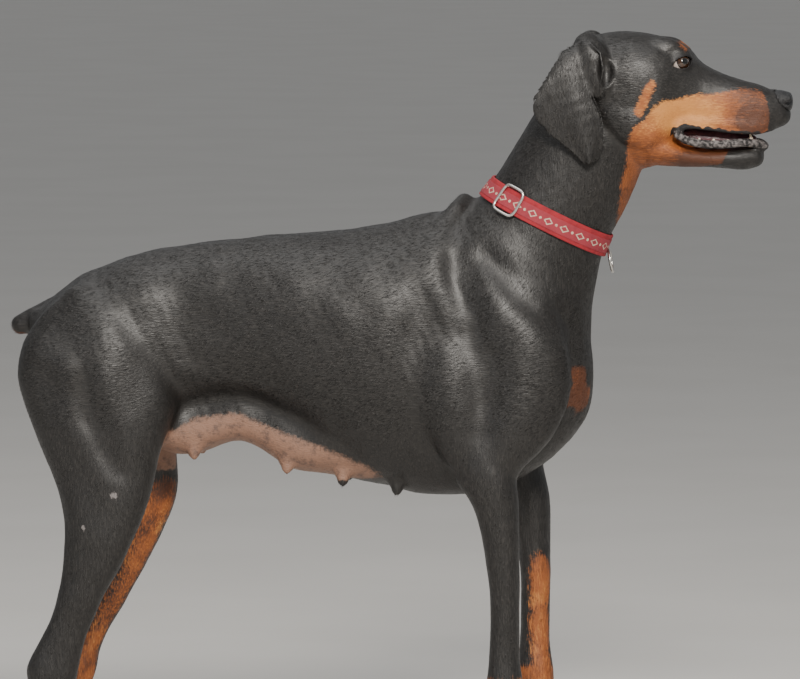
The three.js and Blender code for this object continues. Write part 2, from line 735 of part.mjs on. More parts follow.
// The steel ring that hangs at the throat.
function collarRing() {
  const middle = onCollar(0, fittingOut, -4);
  const radius = 12;
  const points = [];
  const corners = 8;
  for (let i = 0; i < corners; i++) {
    const turn = (2 * Math.PI * i) / corners;
    const drop = radius * (1 - Math.cos(turn));
    points.push(middle.clone().add(new THREE.Vector3(0.18 * drop, radius * Math.sin(turn), -drop)));
  }
  return besideWebbing(wireLoop(points, WIRE));
}

const hindLegs = {};
const foreLegs = {};
for (const side of [RIGHT, LEFT]) {
  const hindStep = HIND_STEP[side] - HOCK_BACK[side];
  hindLegs[side] = addFoot("hind", side, HIND_FETLOCK, hindStep, HIND_FOOT, thigh(side));
  foreLegs[side] = addFoot("fore", side, FORE_FETLOCK, FORE_STEP[side], FORE_FOOT, foreLeg(side));
}

const barrel = [trunkForm(GAP), bellyForm(GAP)];
for (const side of [RIGHT, LEFT]) {
  addNode(`hind_leg_${sideName(side)}`, cut(hindLegs[side], barrel), materials.coat);
  addNode(`fore_leg_${sideName(side)}`, cut(foreLegs[side], [...barrel, neckForm(GAP)]), materials.coat);
  addNode(`ear_${sideName(side)}`, ear(side), materials.coat);
  addNode(`eye_${sideName(side)}`, eyeBall(side, EYE_RADIUS), materials.eye);
}
const headCutters = [skullForm(GAP), jawForm(GAP), ...headRelief(RIGHT), ...headRelief(LEFT)];
addNode("torso", torso(), materials.coat);
addNode("tail", tail(), materials.coat);
addNode("neck", cut(neckForm(), [trunkForm(GAP), ...headCutters]), materials.coat);
addNode("head", head(), materials.coat);
addNode("lower_jaw", lowerJaw(), materials.rust);
addNode("tongue", tongueForm(), materials.tongue);
addNode("nose", nose(), materials.leather);
addNode("collar", collar(), materials.webbing);
addNode("collar_slide", collarSlide(), materials.steel);
addNode("collar_ring", collarRing(), materials.steel);

export default group;
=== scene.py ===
"""A doberman pinscher as a still, life-size model, dressed in its short black and rust coat.

The skin is grown as distance fields from named sizes, so that legs, neck, lids and lips run into it with no
seam, and the coat is laid over it in short tufts. Everything is in metres, +X towards the nose, +Y to the
animal's left, +Z up, with the origin on the floor. Tables of sizes are in millimetres.
"""

import logging
import math
from dataclasses import dataclass, field
from enum import Enum
from typing import Callable, Protocol, Sequence

import bmesh
import bpy
import numpy as np
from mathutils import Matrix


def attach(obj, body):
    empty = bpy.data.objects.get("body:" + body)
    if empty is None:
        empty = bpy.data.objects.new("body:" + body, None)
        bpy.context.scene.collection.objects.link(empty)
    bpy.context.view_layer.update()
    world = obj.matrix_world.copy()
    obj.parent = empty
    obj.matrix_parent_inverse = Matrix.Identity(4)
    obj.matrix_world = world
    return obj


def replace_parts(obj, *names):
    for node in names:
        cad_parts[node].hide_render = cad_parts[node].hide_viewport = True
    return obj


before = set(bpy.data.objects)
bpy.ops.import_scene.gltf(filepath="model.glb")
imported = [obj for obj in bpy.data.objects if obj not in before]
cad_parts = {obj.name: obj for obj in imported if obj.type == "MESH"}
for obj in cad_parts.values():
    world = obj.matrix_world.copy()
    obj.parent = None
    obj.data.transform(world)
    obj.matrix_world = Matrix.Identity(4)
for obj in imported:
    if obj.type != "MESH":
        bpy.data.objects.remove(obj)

import openvdb
from mathutils import Vector

Array = np.ndarray
Rows = Sequence[Sequence[float]]
Material = bpy.types.Material
Node = bpy.types.Node
Socket = bpy.types.NodeSocket

log = logging.getLogger("doberman")

MM = 0.001
BODY = "root"
RIGHT = -1
LEFT = 1
SIDES = (RIGHT, LEFT)
SIDE_NAME = {RIGHT: "right", LEFT: "left"}
UP = np.array([0.0, 0.0, 1.0])
FORWARD = np.array([1.0, 0.0, 0.0])
SIDEWAYS = np.array([0.0, 1.0, 0.0])
TINY = 1e-12
BETWEEN_LEGS = -0.1
LEG_TOP = 0.42
MOST_BODY_TRIANGLES = 196_000
MOST_HEAD_TRIANGLES = 198_000


class Slot(Enum):
    """The record's material slots, for the finish of each piece; no piece here is given one."""

    COAT = "coat"
    RUST = "rust"
    LEATHER = "leather"
    EYE = "eye"
    TONGUE = "tongue"
    WEBBING = "webbing"
    STEEL = "steel"


def smooth_step(low: float, high: float, value: Array) -> Array:
    """Rise smoothly from 0 at low to 1 at high; low may be the larger of the two."""
    share = np.clip((value - low) / (high - low), 0.0, 1.0)
    return share * share * (3.0 - 2.0 * share)


def unit(vectors: Array) -> Array:
    """Scale each vector to a length of one."""
    return vectors / np.maximum(np.linalg.norm(vectors, axis=-1, keepdims=True), 1e-9)


def spline(points: Array, shares: Array) -> Array:
    """Follow a smooth curve through points.

    Args:
        points: The points that it passes through, one in each row.
        shares: How far along to look, from 0 to 1.

    Returns:
        One row for each share.
    """
    padded = np.vstack([2 * points[0] - points[1], points, 2 * points[-1] - points[-2]])
    place = np.clip(shares, 0.0, 1.0) * (len(points) - 1)
    first = np.minimum(place.astype(int), len(points) - 2)
    part = (place - first)[:, None]
    before, here, after, beyond = (padded[first + step] for step in range(4))
    bend = 2 * before - 5 * here + 4 * after - beyond
    twist = 3 * here - before - 3 * after + beyond
    return 0.5 * (2 * here + (after - before) * part + bend * part**2 + twist * part**3)


def wobble(points: Array, size: float, seed: int, waves: int = 14) -> Array:
    """Give a smooth seeded noise of about unit height.

    Args:
        points: Where to read it, one point in each row.
        size: The rough length of its waves, in metres.
        seed: Its own seed.
        waves: How many waves are summed.

    Returns:
        One value for each point.
    """
    rng = np.random.default_rng(seed)
    ways = unit(rng.normal(size=(waves, 3))) * (2 * math.pi / size) * rng.uniform(0.6, 1.6, (waves, 1))
    phases = rng.uniform(0, 2 * math.pi, waves)
    return np.sin(points @ ways.T + phases).sum(axis=1) / math.sqrt(waves / 2)


def line_distance(points: Array, path: Array) -> Array:
    """Measure how far points lie from a line through the rows of path.

    Args:
        points: The points, in metres, one in each row.
        path: The points that the line runs through.

    Returns:
        One distance for each point.
    """
    best = np.full(points.shape[0], np.inf)
    for start, end in zip(path[:-1], path[1:]):
        along = end - start
        share = np.clip((points - start) @ along / max(along @ along, TINY), 0.0, 1.0)
        best = np.minimum(best, np.linalg.norm(points - start - share[:, None] * along, axis=1))
    return best


def outline_depth(points: Array, outline: Array) -> Array:
    """Measure how deep points lie inside a closed outline, below zero outside it.

    Args:
        points: The points, in metres, one in each row.
        outline: The corners of the outline.

    Returns:
        One depth for each point.
    """
    inside = np.zeros(len(points), bool)
    for start, end in zip(outline, np.roll(outline, -1, axis=0)):
        crosses = (start[1] > points[:, 1]) != (end[1] > points[:, 1])
        rise = end[1] - start[1]
        rise = rise if abs(rise) > TINY else TINY
        reach = start[0] + (points[:, 1] - start[1]) * (end[0] - start[0]) / rise
        inside ^= crosses & (points[:, 0] < reach)
    edge = line_distance(points, np.vstack([outline, outline[:1]]))
    return np.where(inside, edge, -edge)


@dataclass(frozen=True)
class Loft:
    """A closed form through stations of middle x, y, z, half sizes side, up and down, and squareness."""

    stations: Array
    across: Array | None = None
    dome: float = 0.6

    def mesh(self, grow: float = 0.0, fine: int = 5, sides: int = 44) -> tuple[Array, Array]:
        """Build the form's surface.

        Args:
            grow: How far it is made larger all round, in metres.
            fine: How many rings each stretch between two stations has.
            sides: How many corners a ring has.

        Returns:
            Its points and its triangles.
        """
        caps = 6
        rings = fine * (len(self.stations) - 1)
        order = np.arange(rings + 2 * caps + 1)
        past = np.maximum(np.maximum(caps - order, order - rings - caps), 0) / caps * math.pi / 2
        share = np.clip((order - caps) / rings, 0.0, 1.0)
        middle = spline(self.stations[:, :3], share)
        size = spline(self.stations[:, 3:6], share) + grow
        last = len(self.stations) - 1
        square = np.interp(share * last, np.arange(last + 1), self.stations[:, 6])
        step = 1e-3
        path = self.stations[:, :3]
        tangent = unit(spline(path, share + step) - spline(path, share - step))
        upward = unit(np.cross(tangent, SIDEWAYS))
        if self.across is not None:
            upward = np.tile(self.across, (len(order), 1))
        outward = np.where(order < caps, -1.0, 1.0)
        bulge = outward * np.sin(past) * self.dome * np.minimum(size[:, 0], size[:, 1])
        angle = np.linspace(0, 2 * math.pi, sides, endpoint=False)
        power = 2.0 / square[:, None]
        shrink = np.cos(past)[:, None]
        aside = np.sign(np.cos(angle)) * np.abs(np.cos(angle)) ** power * size[:, :1] * shrink
        above = np.sign(np.sin(angle)) * np.abs(np.sin(angle)) ** power * shrink
        above = above * np.where(above > 0, size[:, 1:2], size[:, 2:3])
        points = (
            (middle + tangent * bulge[:, None])[:, None, :]
            + SIDEWAYS * aside[:, :, None]
            + upward[:, None, :] * above[:, :, None]
        )
        return points.reshape(-1, 3), tube_faces(len(order), sides)


def tube_faces(rings: int, sides: int) -> Array:
    """Join rings of corners into a closed tube, with its ends closed by fans.

    Args:
        rings: How many rings there are.
        sides: How many corners a ring has.

    Returns:
        The triangles.
    """
    ring, side = np.meshgrid(np.arange(rings - 1), np.arange(sides), indexing="ij")
    a = ring * sides + side
    b = ring * sides + (side + 1) % sides
    around = np.stack([a, b, b + sides, a, b + sides, a + sides], axis=-1).reshape(-1, 3)
    fan = np.arange(1, sides - 1)
    first = np.stack([np.zeros_like(fan), fan + 1, fan], axis=-1)
    last = (rings - 1) * sides + np.stack([np.zeros_like(fan), fan, fan + 1], axis=-1)
    return np.vstack([around, first, last])


def slices(rows: Rows, square: float = 2.2) -> Array:
    """Turn upright cuts (x, top, bottom, mid, side, squareness) into stations.

    Args:
        rows: The rows of sizes, in millimetres.
        square: How square the cuts are; 2 is round.

    Returns:
        One station in each row.
    """
    made = [(r[0], 0, r[3], r[4], r[1] - r[3], r[3] - r[2], 0) for r in rows]
    stations = np.array(made, float) * MM
    stations[:, 6] = [r[5] if len(r) > 5 else square for r in rows]
    return stations


def levels(rows: Rows, side: int, square: float = 2.2) -> Array:
    """Turn level cuts (z, back, front, y, side, squareness) through a leg into stations.

    Args:
        rows: The rows of sizes, in millimetres.
        side: LEFT or RIGHT.
        square: How square the cuts are; 2 is round.

    Returns:
        One station in each row.
    """
    made = []
    for height, back, front, out, wide, *_ in rows:
        half = (front - back) / 2
        made.append(((back + front) / 2, side * out, height, wide, half, half, 0))
    stations = np.array(made, float) * MM
    stations[:, 6] = [r[5] if len(r) > 5 else square for r in rows]
    return stations


def bands(rows: Rows, side: int = 1, square: float = 2.1) -> Array:
    """Turn cuts square to a line (x, y, z, deep, side) into stations."""
    stations = np.array([(r[0], side * r[1], r[2], r[4], r[3], r[3], 0) for r in rows], float) * MM
    stations[:, 6] = square
    return stations


def stepped(stations: Array, step: float, floor: float, ceiling: float) -> Array:
    """Move stations forward by a step that fades out between two heights, all in millimetres.

    Args:
        stations: The stations of a form.
        step: How far forward they go, in millimetres.
        floor: The height up to which they take the whole step.
        ceiling: The height from which they stay.

    Returns:
        The moved stations.
    """
    moved = stations.copy()
    share = np.clip((ceiling * MM - moved[:, 2]) / ((ceiling - floor) * MM), 0.0, 1.0)
    moved[:, 0] += step * MM * share
    return moved


@dataclass(frozen=True)
class Ball:
    """A ball, or an egg shape with three half sizes."""

    middle: Sequence[float]
    sizes: Sequence[float]

    def reach(self) -> tuple[Array, Array]:
        """Give the lowest and highest corners of its box."""
        return np.subtract(self.middle, self.sizes), np.add(self.middle, self.sizes)

    def distance(self, points: Array) -> Array:
        """Measure how far points lie outside it.

        Args:
            points: The points, in metres, one in each row.

        Returns:
            One distance for each point.
        """
        offset = (points - np.array(self.middle)) / np.array(self.sizes)
        length = np.linalg.norm(offset, axis=-1)
        slope = np.linalg.norm(offset / np.array(self.sizes), axis=-1)
        return length * (length - 1.0) / np.maximum(slope, 1e-6)


@dataclass(frozen=True)
class Cord:
    """A round line through points, with its own radius at each."""

    path: Sequence[Sequence[float]]
    radii: Sequence[float]

    def reach(self) -> tuple[Array, Array]:
        """Give the lowest and highest corners of its box."""
        path = np.array(self.path)
        return path.min(axis=0) - max(self.radii), path.max(axis=0) + max(self.radii)

    def distance(self, points: Array) -> Array:
        """Measure how far points lie outside it.

        Args:
            points: The points, in metres, one in each row.

        Returns:
            One distance for each point.
        """
        best = np.full(points.shape[:-1], np.inf)
        path = np.array(self.path)
        for start, end, thick, thin in zip(path[:-1], path[1:], self.radii[:-1], self.radii[1:]):
            along = end - start
            share = np.clip((points - start) @ along / max(along @ along, TINY), 0.0, 1.0)
            gap = np.linalg.norm(points - start - share[..., None] * along, axis=-1)
            best = np.minimum(best, gap - (thick + (thin - thick) * share))
        return best


class Shape(Protocol):
    """Anything that has a box and can tell how far points lie outside it."""

    def reach(self) -> tuple[Array, Array]:
        """Give the lowest and highest corners of its box."""

    def distance(self, points: Array) -> Array:
        """Measure how far points lie outside it."""


class Field:
    """A grid of distances to a surface, below zero inside it."""

    def __init__(self, low: Sequence[float], high: Sequence[float], cell: float, band: float) -> None:
        """Open an empty grid.

        Args:
            low: Its lowest corner.
            high: Its highest corner.
            cell: The size of a cell.
            band: How far from a surface the distances are kept.
        """
        self.cell = cell
        self.band = band
        self.start = np.floor(np.array(low) / cell).astype(int)
        shape = np.ceil(np.array(high) / cell).astype(int) - self.start + 1
        self.values = np.full(shape, band, np.float32)

    def loft(self, *forms: Loft, grow: float = 0.0) -> "Field":
        """Take in forms with a hard join."""
        for form in forms:
            self.shell(*form.mesh(grow))
        return self

    def shell(self, points: Array, triangles: Array) -> None:
        """Take in one closed mesh with a hard join."""
        self.values = np.minimum(self.values, self.measure(points, triangles))

    def measure(self, points: Array, triangles: Array) -> Array:
        """Measure the distances to one closed mesh on this grid.

        Args:
            points: The points, in metres, one in each row.
            triangles: Its triangles.

        Returns:
            The distance at each cell.
        """
        grid = openvdb.FloatGrid.createLevelSetFromPolygons(
            points.astype(np.float32),
            triangles=triangles.astype(np.uint32),
            transform=openvdb.createLinearTransform(voxelSize=self.cell),
            halfWidth=self.band / self.cell,
        )
        values = np.empty(self.values.shape, np.float32)
        grid.copyToArray(values, ijk=tuple(int(i) for i in self.start))
        return values

    def axis(self, index: int) -> Array:
        """Give the places of the cells along one axis, shaped to fit the grid."""
        shape = [1, 1, 1]
        shape[index] = -1
        return ((self.start[index] + np.arange(self.values.shape[index])) * self.cell).reshape(shape)

    def soften(self, sigma: float, share: Array | float = 1.0) -> "Field":
        """Round off creases and corners.

        Args:
            sigma: How wide the rounding is, in metres.
            share: How much of it each cell takes, from 0 to 1.

        Returns:
            This field.
        """
        steps = max(1, int(math.ceil(2.5 * sigma / self.cell)))
        weights = np.exp(-0.5 * (np.arange(-steps, steps + 1) * self.cell / sigma) ** 2)
        weights = (weights / weights.sum()).astype(np.float32)
        result = self.values
        for index in range(3):
            padding = [(0, 0)] * 3
            padding[index] = (steps, steps)
            padded = np.pad(result, padding, mode="edge")
            result = np.zeros_like(self.values)
            for offset, weight in enumerate(weights):
                window = [slice(None)] * 3
                window[index] = slice(offset, offset + self.values.shape[index])
                result += weight * padded[tuple(window)]
        self.values = (self.values + (result - self.values) * share).astype(np.float32)
        return self

    def _near(self, low: Array, high: Array) -> tuple[tuple[slice, ...], Array]:
        """Give the window of cells round a box, and their places.

        Args:
            low: The lowest corner.
            high: The highest corner.

        Returns:
            The window, and the place of each of its cells.
        """
        first = np.clip(np.floor(low / self.cell).astype(int) - self.start, 0, self.values.shape)
        last = np.clip(np.ceil(high / self.cell).astype(int) - self.start + 1, 0, self.values.shape)
        window = tuple(slice(a, b) for a, b in zip(first, last))
        places = [(np.arange(a, b) + s) * self.cell for a, b, s in zip(first, last, self.start)]
        return window, np.stack(np.meshgrid(*places, indexing="ij"), axis=-1)

    def join(self, shape: Shape, soft: float) -> None:
        """Add a shape, with a soft crease where it meets what is there."""
        self._merge(shape, soft, 1)

    def carve(self, shape: Shape, soft: float) -> None:
        """Cut a shape away, with a soft rim."""
        self._merge(shape, soft, -1)

    def _merge(self, shape: Shape, soft: float, sign: int) -> None:
        """Add a shape or cut it away.

        Args:
            shape: The shape.
            soft: How wide the rounding of the crease is, in metres.
            sign: 1 to add it, -1 to cut it away.
        """
        low, high = shape.reach()
        window, places = self._near(low - soft - self.cell, high + soft + self.cell)
        if places.size:
            here, there = self.values[window] * sign, shape.distance(places)
            blend = np.maximum(soft - np.abs(here - there), 0.0) / soft
            self.values[window] = sign * (np.minimum(here, there) - blend * blend * soft / 4)

    def sample(self, points: Array) -> Array:
        """Read the distance at points, between the cells.

        Args:
            points: The points, in metres, one in each row.

        Returns:
            One distance for each point.
        """
        place = points / self.cell - self.start
        first = np.clip(np.floor(place).astype(int), 0, np.array(self.values.shape) - 2)
        part = np.clip(place - first, 0.0, 1.0)
        total = np.zeros(len(points))
        for corner in np.ndindex(2, 2, 2):
            weight = np.prod(np.where(np.array(corner) == 1, part, 1 - part), axis=1)
            index = first + np.array(corner)
            total += weight * self.values[index[:, 0], index[:, 1], index[:, 2]]
        return total

    def surface(self, inset: float = 0.0) -> tuple[Array, Array]:
        """Draw the skin of the form as quads.

        Args:
            inset: How far under the form's own surface it lies.

        Returns:
            Its points and its faces.
        """
        grid = openvdb.FloatGrid(self.band)
        grid.transform = openvdb.createLinearTransform(voxelSize=self.cell)
        grid.copyFromArray(np.ascontiguousarray(self.values), ijk=tuple(int(i) for i in self.start))
        points, quads = grid.convertToQuads(isovalue=-inset)
        return points.astype(float), quads.astype(int)


def volume_of(points: Array, faces: Array) -> float:
    """Measure the volume inside a closed mesh, below zero if it is inside out.

    Args:
        points: The points, in metres, one in each row.
        faces: The faces, as rows of point numbers.

    Returns:
        The volume.
    """
    a, b, c = points[faces[:, 0]], points[faces[:, 1]], points[faces[:, 2]]
    total = np.einsum("ij,ij->", a, np.cross(b, c))
    if faces.shape[1] == 4:
        total += np.einsum("ij,ij->", a, np.cross(c, points[faces[:, 3]]))
    return total / 6.0


def point_normals(points: Array, faces: Array) -> Array:
    """Work out the normal at each point of a mesh of like faces.

    Args:
        points: The points, in metres, one in each row.
        faces: The faces, as rows of point numbers.

    Returns:
        One normal for each point.
    """
    normals = np.zeros_like(points)
    corner = [points[faces[:, index]] for index in range(faces.shape[1])]
    if len(corner) == 4:
        face = np.cross(corner[2] - corner[0], corner[3] - corner[1])
    else:
        face = np.cross(corner[1] - corner[0], corner[2] - corner[0])
    for index in range(faces.shape[1]):
        np.add.at(normals, faces[:, index], face)
    return unit(normals)


def relax(points: Array, faces: Array, rounds: int, strength: float = 0.5) -> Array:
    """Even out a mesh by drawing each point towards its neighbours, and every other round away from them.

    Args:
        points: The points, in metres, one in each row.
        faces: The faces, as rows of point numbers.
        rounds: How many times it is done.
        strength: How far a point goes to the mean of its neighbours.

    Returns:
        The moved points.
    """
    pairs = np.vstack([faces[:, [i, (i + 1) % faces.shape[1]]] for i in range(faces.shape[1])])
    ends = np.concatenate([pairs[:, 0], pairs[:, 1]])
    others = np.concatenate([pairs[:, 1], pairs[:, 0]])
    count = np.maximum(np.bincount(ends, minlength=len(points)), 1)[:, None]
    for turn in range(rounds):
        mean = np.stack([np.bincount(ends, points[others, k], len(points)) for k in range(3)], axis=1) / count
        push = strength if turn % 2 == 0 else -strength * 1.02
        points = points + push * (mean - points)
    return points


MARK_NAMES = ("rust", "tone", "bare", "lip", "wet", "scar", "limb", "slant")


@dataclass
class Skin:
    """A skin as plain arrays, before it becomes a piece."""

    points: Array
    faces: Array
    marks: dict[str, Array] = field(default_factory=dict)

    def __post_init__(self) -> None:
        """Turn the faces outward and work out the normals."""
        if volume_of(self.points, self.faces) < 0:
            self.faces = self.faces[:, ::-1]
        self.refresh()

    def refresh(self) -> None:
        """Work out the normals again."""
        self.normals = point_normals(self.points, self.faces)

    def push(self, height: Array) -> None:
        """Move each point along its normal by its own height."""
        self.points = self.points + self.normals * height[:, None]
        self.refresh()

    def take_marks(self, **marks: Array) -> None:
        """Write down what the coat looks like at each point; a mark that isn't given is 0."""
        self.marks = {key: marks.get(key, np.zeros(len(self.points))) for key in MARK_NAMES}


def joined(skins: Sequence[Skin]) -> Skin:
    """Lay several skins together as one.

    Args:
        skins: The skins.

    Returns:
        One skin.
    """
    starts = np.cumsum([0] + [len(skin.points) for skin in skins[:-1]])
    faces = np.vstack([skin.faces + start for skin, start in zip(skins, starts)])
    whole = Skin(np.vstack([skin.points for skin in skins]), faces)
    whole.marks = {key: np.concatenate([skin.marks[key] for skin in skins]) for key in skins[0].marks}
    return whole


def make_piece(
    name: str,
    points: Array,
    faces: Array,
    material: Material,
    marks: dict[str, Array] | None = None,
) -> bpy.types.Object:
    """Make a smooth mesh piece that rides on the body.

    Args:
        name: The piece's name.
        points: Its points, in metres.
        faces: Its faces, as rows of point numbers.
        material: What it is dressed in.
        marks: Values at each point for the material to read.

    Returns:
        The new object.
    """
    mesh = bpy.data.meshes.new(name)
    mesh.vertices.add(len(points))
    mesh.vertices.foreach_set("co", np.ascontiguousarray(points, np.float32).ravel())
    mesh.loops.add(faces.size)
    mesh.loops.foreach_set("vertex_index", np.ascontiguousarray(faces, np.int32).ravel())
    mesh.polygons.add(len(faces))
    mesh.polygons.foreach_set("loop_start", np.arange(0, faces.size, faces.shape[1], dtype=np.int32))
    mesh.update(calc_edges=True)
    for key, values in (marks or {}).items():
        attribute = mesh.attributes.new(key, "FLOAT", "POINT")
        attribute.data.foreach_set("value", values.astype(np.float32))
    mesh.polygons.foreach_set("use_smooth", np.ones(len(mesh.polygons), bool))
    mesh.materials.append(material)
    piece = bpy.data.objects.new(name, mesh)
    bpy.context.scene.collection.objects.link(piece)
    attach(piece, BODY)
    log.info("%s: %d faces", name, len(faces))
    return piece


def cut_level(piece: bpy.types.Object, point: Array, normal: Array) -> None:
    """Cut a piece by a plane, drop what lies past it, and close the cut.

    Args:
        piece: The piece.
        point: A point of the plane.
        normal: The way out of the part that is dropped.
    """
    work = bmesh.new()
    work.from_mesh(piece.data)
    geometry = work.verts[:] + work.edges[:] + work.faces[:]
    plane = {"plane_co": Vector(point), "plane_no": Vector(normal)}
    bmesh.ops.bisect_plane(work, geom=geometry, clear_outer=True, **plane)
    bmesh.ops.holes_fill(work, edges=[e for e in work.edges if e.is_boundary], sides=0)
    work.to_mesh(piece.data)
    work.free()


def thin_out(piece: bpy.types.Object, most: int) -> None:
    """Join the small triangles of a piece until it has at most a given number.

    Args:
        piece: The piece.
        most: The greatest number of triangles.
    """
    count = sum(len(p.vertices) - 2 for p in piece.data.polygons)
    if count <= most:
        return
    modifier = piece.modifiers.new("thin", "DECIMATE")
    modifier.ratio = most / count
    graph = bpy.context.evaluated_depsgraph_get()
    thinned = bpy.data.meshes.new_from_object(piece.evaluated_get(graph))
    piece.modifiers.clear()
    piece.data = thinned
    thinned.polygons.foreach_set("use_smooth", np.ones(len(thinned.polygons), bool))


# Materials


class Nodes:
    """A node tree under construction."""

    def __init__(self, tree: bpy.types.NodeTree) -> None:
        """Start with an empty tree."""
        self.tree = tree
        tree.nodes.clear()

    def add(self, kind: str, settings: dict[str, object] | None = None, **feeds: object) -> Node:
        """Add a node.

        Args:
            kind: The node's type.
            settings: Its properties.
            feeds: What its inputs get, by socket name with underscores for blanks, or by in_ and a number.

        Returns:
            The node.
        """
        node = self.tree.nodes.new(kind)
        for key, value in (settings or {}).items():
            setattr(node, key, value)
        for key, value in feeds.items():
            name = int(key[3:]) if key.startswith("in_") else key.replace("_", " ")
            self.feed(node.inputs[name], value)
        return node

    def feed(self, socket: Socket, value: object) -> None:
        """Link a socket to an output, or set its constant.

        Args:
            socket: The socket.
            value: An output to link, or a constant.
        """
        if isinstance(value, Socket):
            self.tree.links.new(value, socket)
        else:
            socket.default_value = value

    def math(self, operation: str, first: object, second: object = 0.0, third: object = 0.0) -> Socket:
        """Work out a sum and give its output."""
        node = self.add("ShaderNodeMath", {"operation": operation}, in_0=first, in_1=second, in_2=third)
        return node.outputs[0]

    def scaled(self, value: object, scale: float, offset: object) -> Socket:
        """Multiply a value and add another."""
        return self.math("MULTIPLY_ADD", value, scale, offset)

    def rest(self, value: object) -> Socket:
        """Take a share away from one."""
        return self.math("SUBTRACT", 1.0, value)

    def blend(self, share: object, first: object, second: object) -> Socket:
        """Go from one value to another by a share."""
        kept = self.math("MULTIPLY", first, self.rest(share))
        return self.math("ADD", kept, self.math("MULTIPLY", second, share))

    def ramp(self, value: object, low: float, high: float, start: float = 0.0, end: float = 1.0) -> Socket:
        """Spread a range of values smoothly over another range.

        Args:
            value: What is spread.
            low: The value that gives the start; it may be above the next.
            high: The value that gives the end.
            start: What comes out at the low value and before it.
            end: What comes out at the high value and past it.

        Returns:
            The output socket.
        """
        feeds = {"Value": value, "From_Min": low, "From_Max": high, "To_Min": start, "To_Max": end}
        return self.add("ShaderNodeMapRange", {"interpolation_type": "SMOOTHSTEP"}, **feeds).outputs[0]

    def mix(self, share: object, first: object, second: object) -> Socket:
        """Mix two colours and give the result."""
        node = self.add("ShaderNodeMix", {"data_type": "RGBA"}, in_0=share, in_6=first, in_7=second)
        return node.outputs[2]

    def stretch(self, vector: object, scale: Sequence[float], turn: Sequence[float] = (0, 0, 0)) -> Socket:
        """Turn and scale a place."""
        return self.add("ShaderNodeMapping", None, Vector=vector, Scale=scale, Rotation=turn).outputs[0]

    def noise(self, vector: object, scale: float, detail: float = 2.0, rough: float = 0.5) -> Socket:
        """Read a cloudy noise at a place."""
        feeds = {"Vector": vector, "Scale": scale, "Detail": detail, "Roughness": rough}
        return self.add("ShaderNodeTexNoise", None, **feeds).outputs[0]

    def cells(self, vector: object, scale: float, feature: str = "F1") -> Socket:
        """Read how far a place is from the middle or the edge of its cell."""
        node = self.add("ShaderNodeTexVoronoi", {"feature": feature}, Vector=vector, Scale=scale)
        return node.outputs["Distance"]

    def mark(self, name: str) -> Socket:
        """Read a value kept at the points of the mesh."""
        return self.add("ShaderNodeAttribute", {"attribute_name": name}).outputs["Fac"]

    def place(self) -> Socket:
        """Give the place on the object."""
        return self.add("ShaderNodeTexCoord").outputs["Object"]

    def group(self, tree: bpy.types.NodeTree, **feeds: object) -> Node:
        """Place a node group and feed its inputs."""
        return self.add("ShaderNodeGroup", {"node_tree": tree}, **feeds)

    def bump(self, height: object, strength: float, distance: float) -> Socket:
        """Turn heights into a bumpy normal."""
        feeds = {"Height": height, "Strength": strength, "Distance": distance}
        return self.add("ShaderNodeBump", None, **feeds).outputs[0]

    def surface(self, colour: object, rough: object, **feeds: object) -> Node:
        """Add the shader that a finish ends in."""
        return self.add("ShaderNodeBsdfPrincipled", None, Base_Color=colour, Roughness=rough, **feeds)


def open_material(name: str) -> tuple[Nodes, Material]:
    """Open a new material with an empty node tree."""
    material = bpy.data.materials.new(name)
    material.use_nodes = True
    return Nodes(material.node_tree), material


def new_group(name: str, inputs: dict[str, float], outputs: dict[str, str]) -> tuple[Nodes, Node, Node]:
    """Open a shader node group.

    Args:
        name: The group's name.
        inputs: Each input's default; all are plain numbers.
        outputs: Each output's kind.

    Returns:
        Its nodes, its input node and its output node.
    """
    tree = bpy.data.node_groups.new(name, "ShaderNodeTree")
    for key, default in inputs.items():
        tree.interface.new_socket(key, in_out="INPUT", socket_type="NodeSocketFloat").default_value = default
    for key, kind in outputs.items():
        tree.interface.new_socket(key, in_out="OUTPUT", socket_type=f"NodeSocket{kind}")
    nodes = Nodes(tree)
    return nodes, nodes.add("NodeGroupInput"), nodes.add("NodeGroupOutput")


HAIR_ALONG = (90, 750, 750)
HAIR_DOWN = (750, 750, 90)


def grain_group() -> bpy.types.NodeTree:
    """Build the lie of short hair: fine flecks drawn out along the body, and down the legs and ears.

    Returns:
        The node group.
    """
    outputs = {"Fleck": "Float", "Height": "Float"}
    nodes, given, result = new_group("hair_grain", {"Limb": 0.0, "Slant": 0.0}, outputs)
    place = nodes.place()
    wander = nodes.add("ShaderNodeTexNoise", None, Vector=place, Scale=9.0, Detail=1.0).outputs["Color"]
    drift = (0.02, 0.02, 0.02)
    offset = nodes.add("ShaderNodeVectorMath", {"operation": "MULTIPLY"}, in_0=wander, in_1=drift).outputs[0]
    bent = nodes.add("ShaderNodeVectorMath", {"operation": "ADD"}, in_0=place, in_1=offset).outputs[0]
    lies = (
        (HAIR_ALONG, (0, 0.25, 0)),
        (HAIR_DOWN, (0, 0, 0)),
        (HAIR_DOWN, (0, -0.45, 0)),
    )
    along, down, slant = (nodes.noise(nodes.stretch(bent, *lie), 1.0, 2.5, 0.65) for lie in lies)
    first = nodes.blend(given.outputs["Limb"], along, down)
    both = nodes.blend(given.outputs["Slant"], first, slant)
    nodes.feed(result.inputs["Fleck"], nodes.ramp(both, 0.44, 0.70))
    nodes.feed(result.inputs["Height"], both)
    return nodes.tree


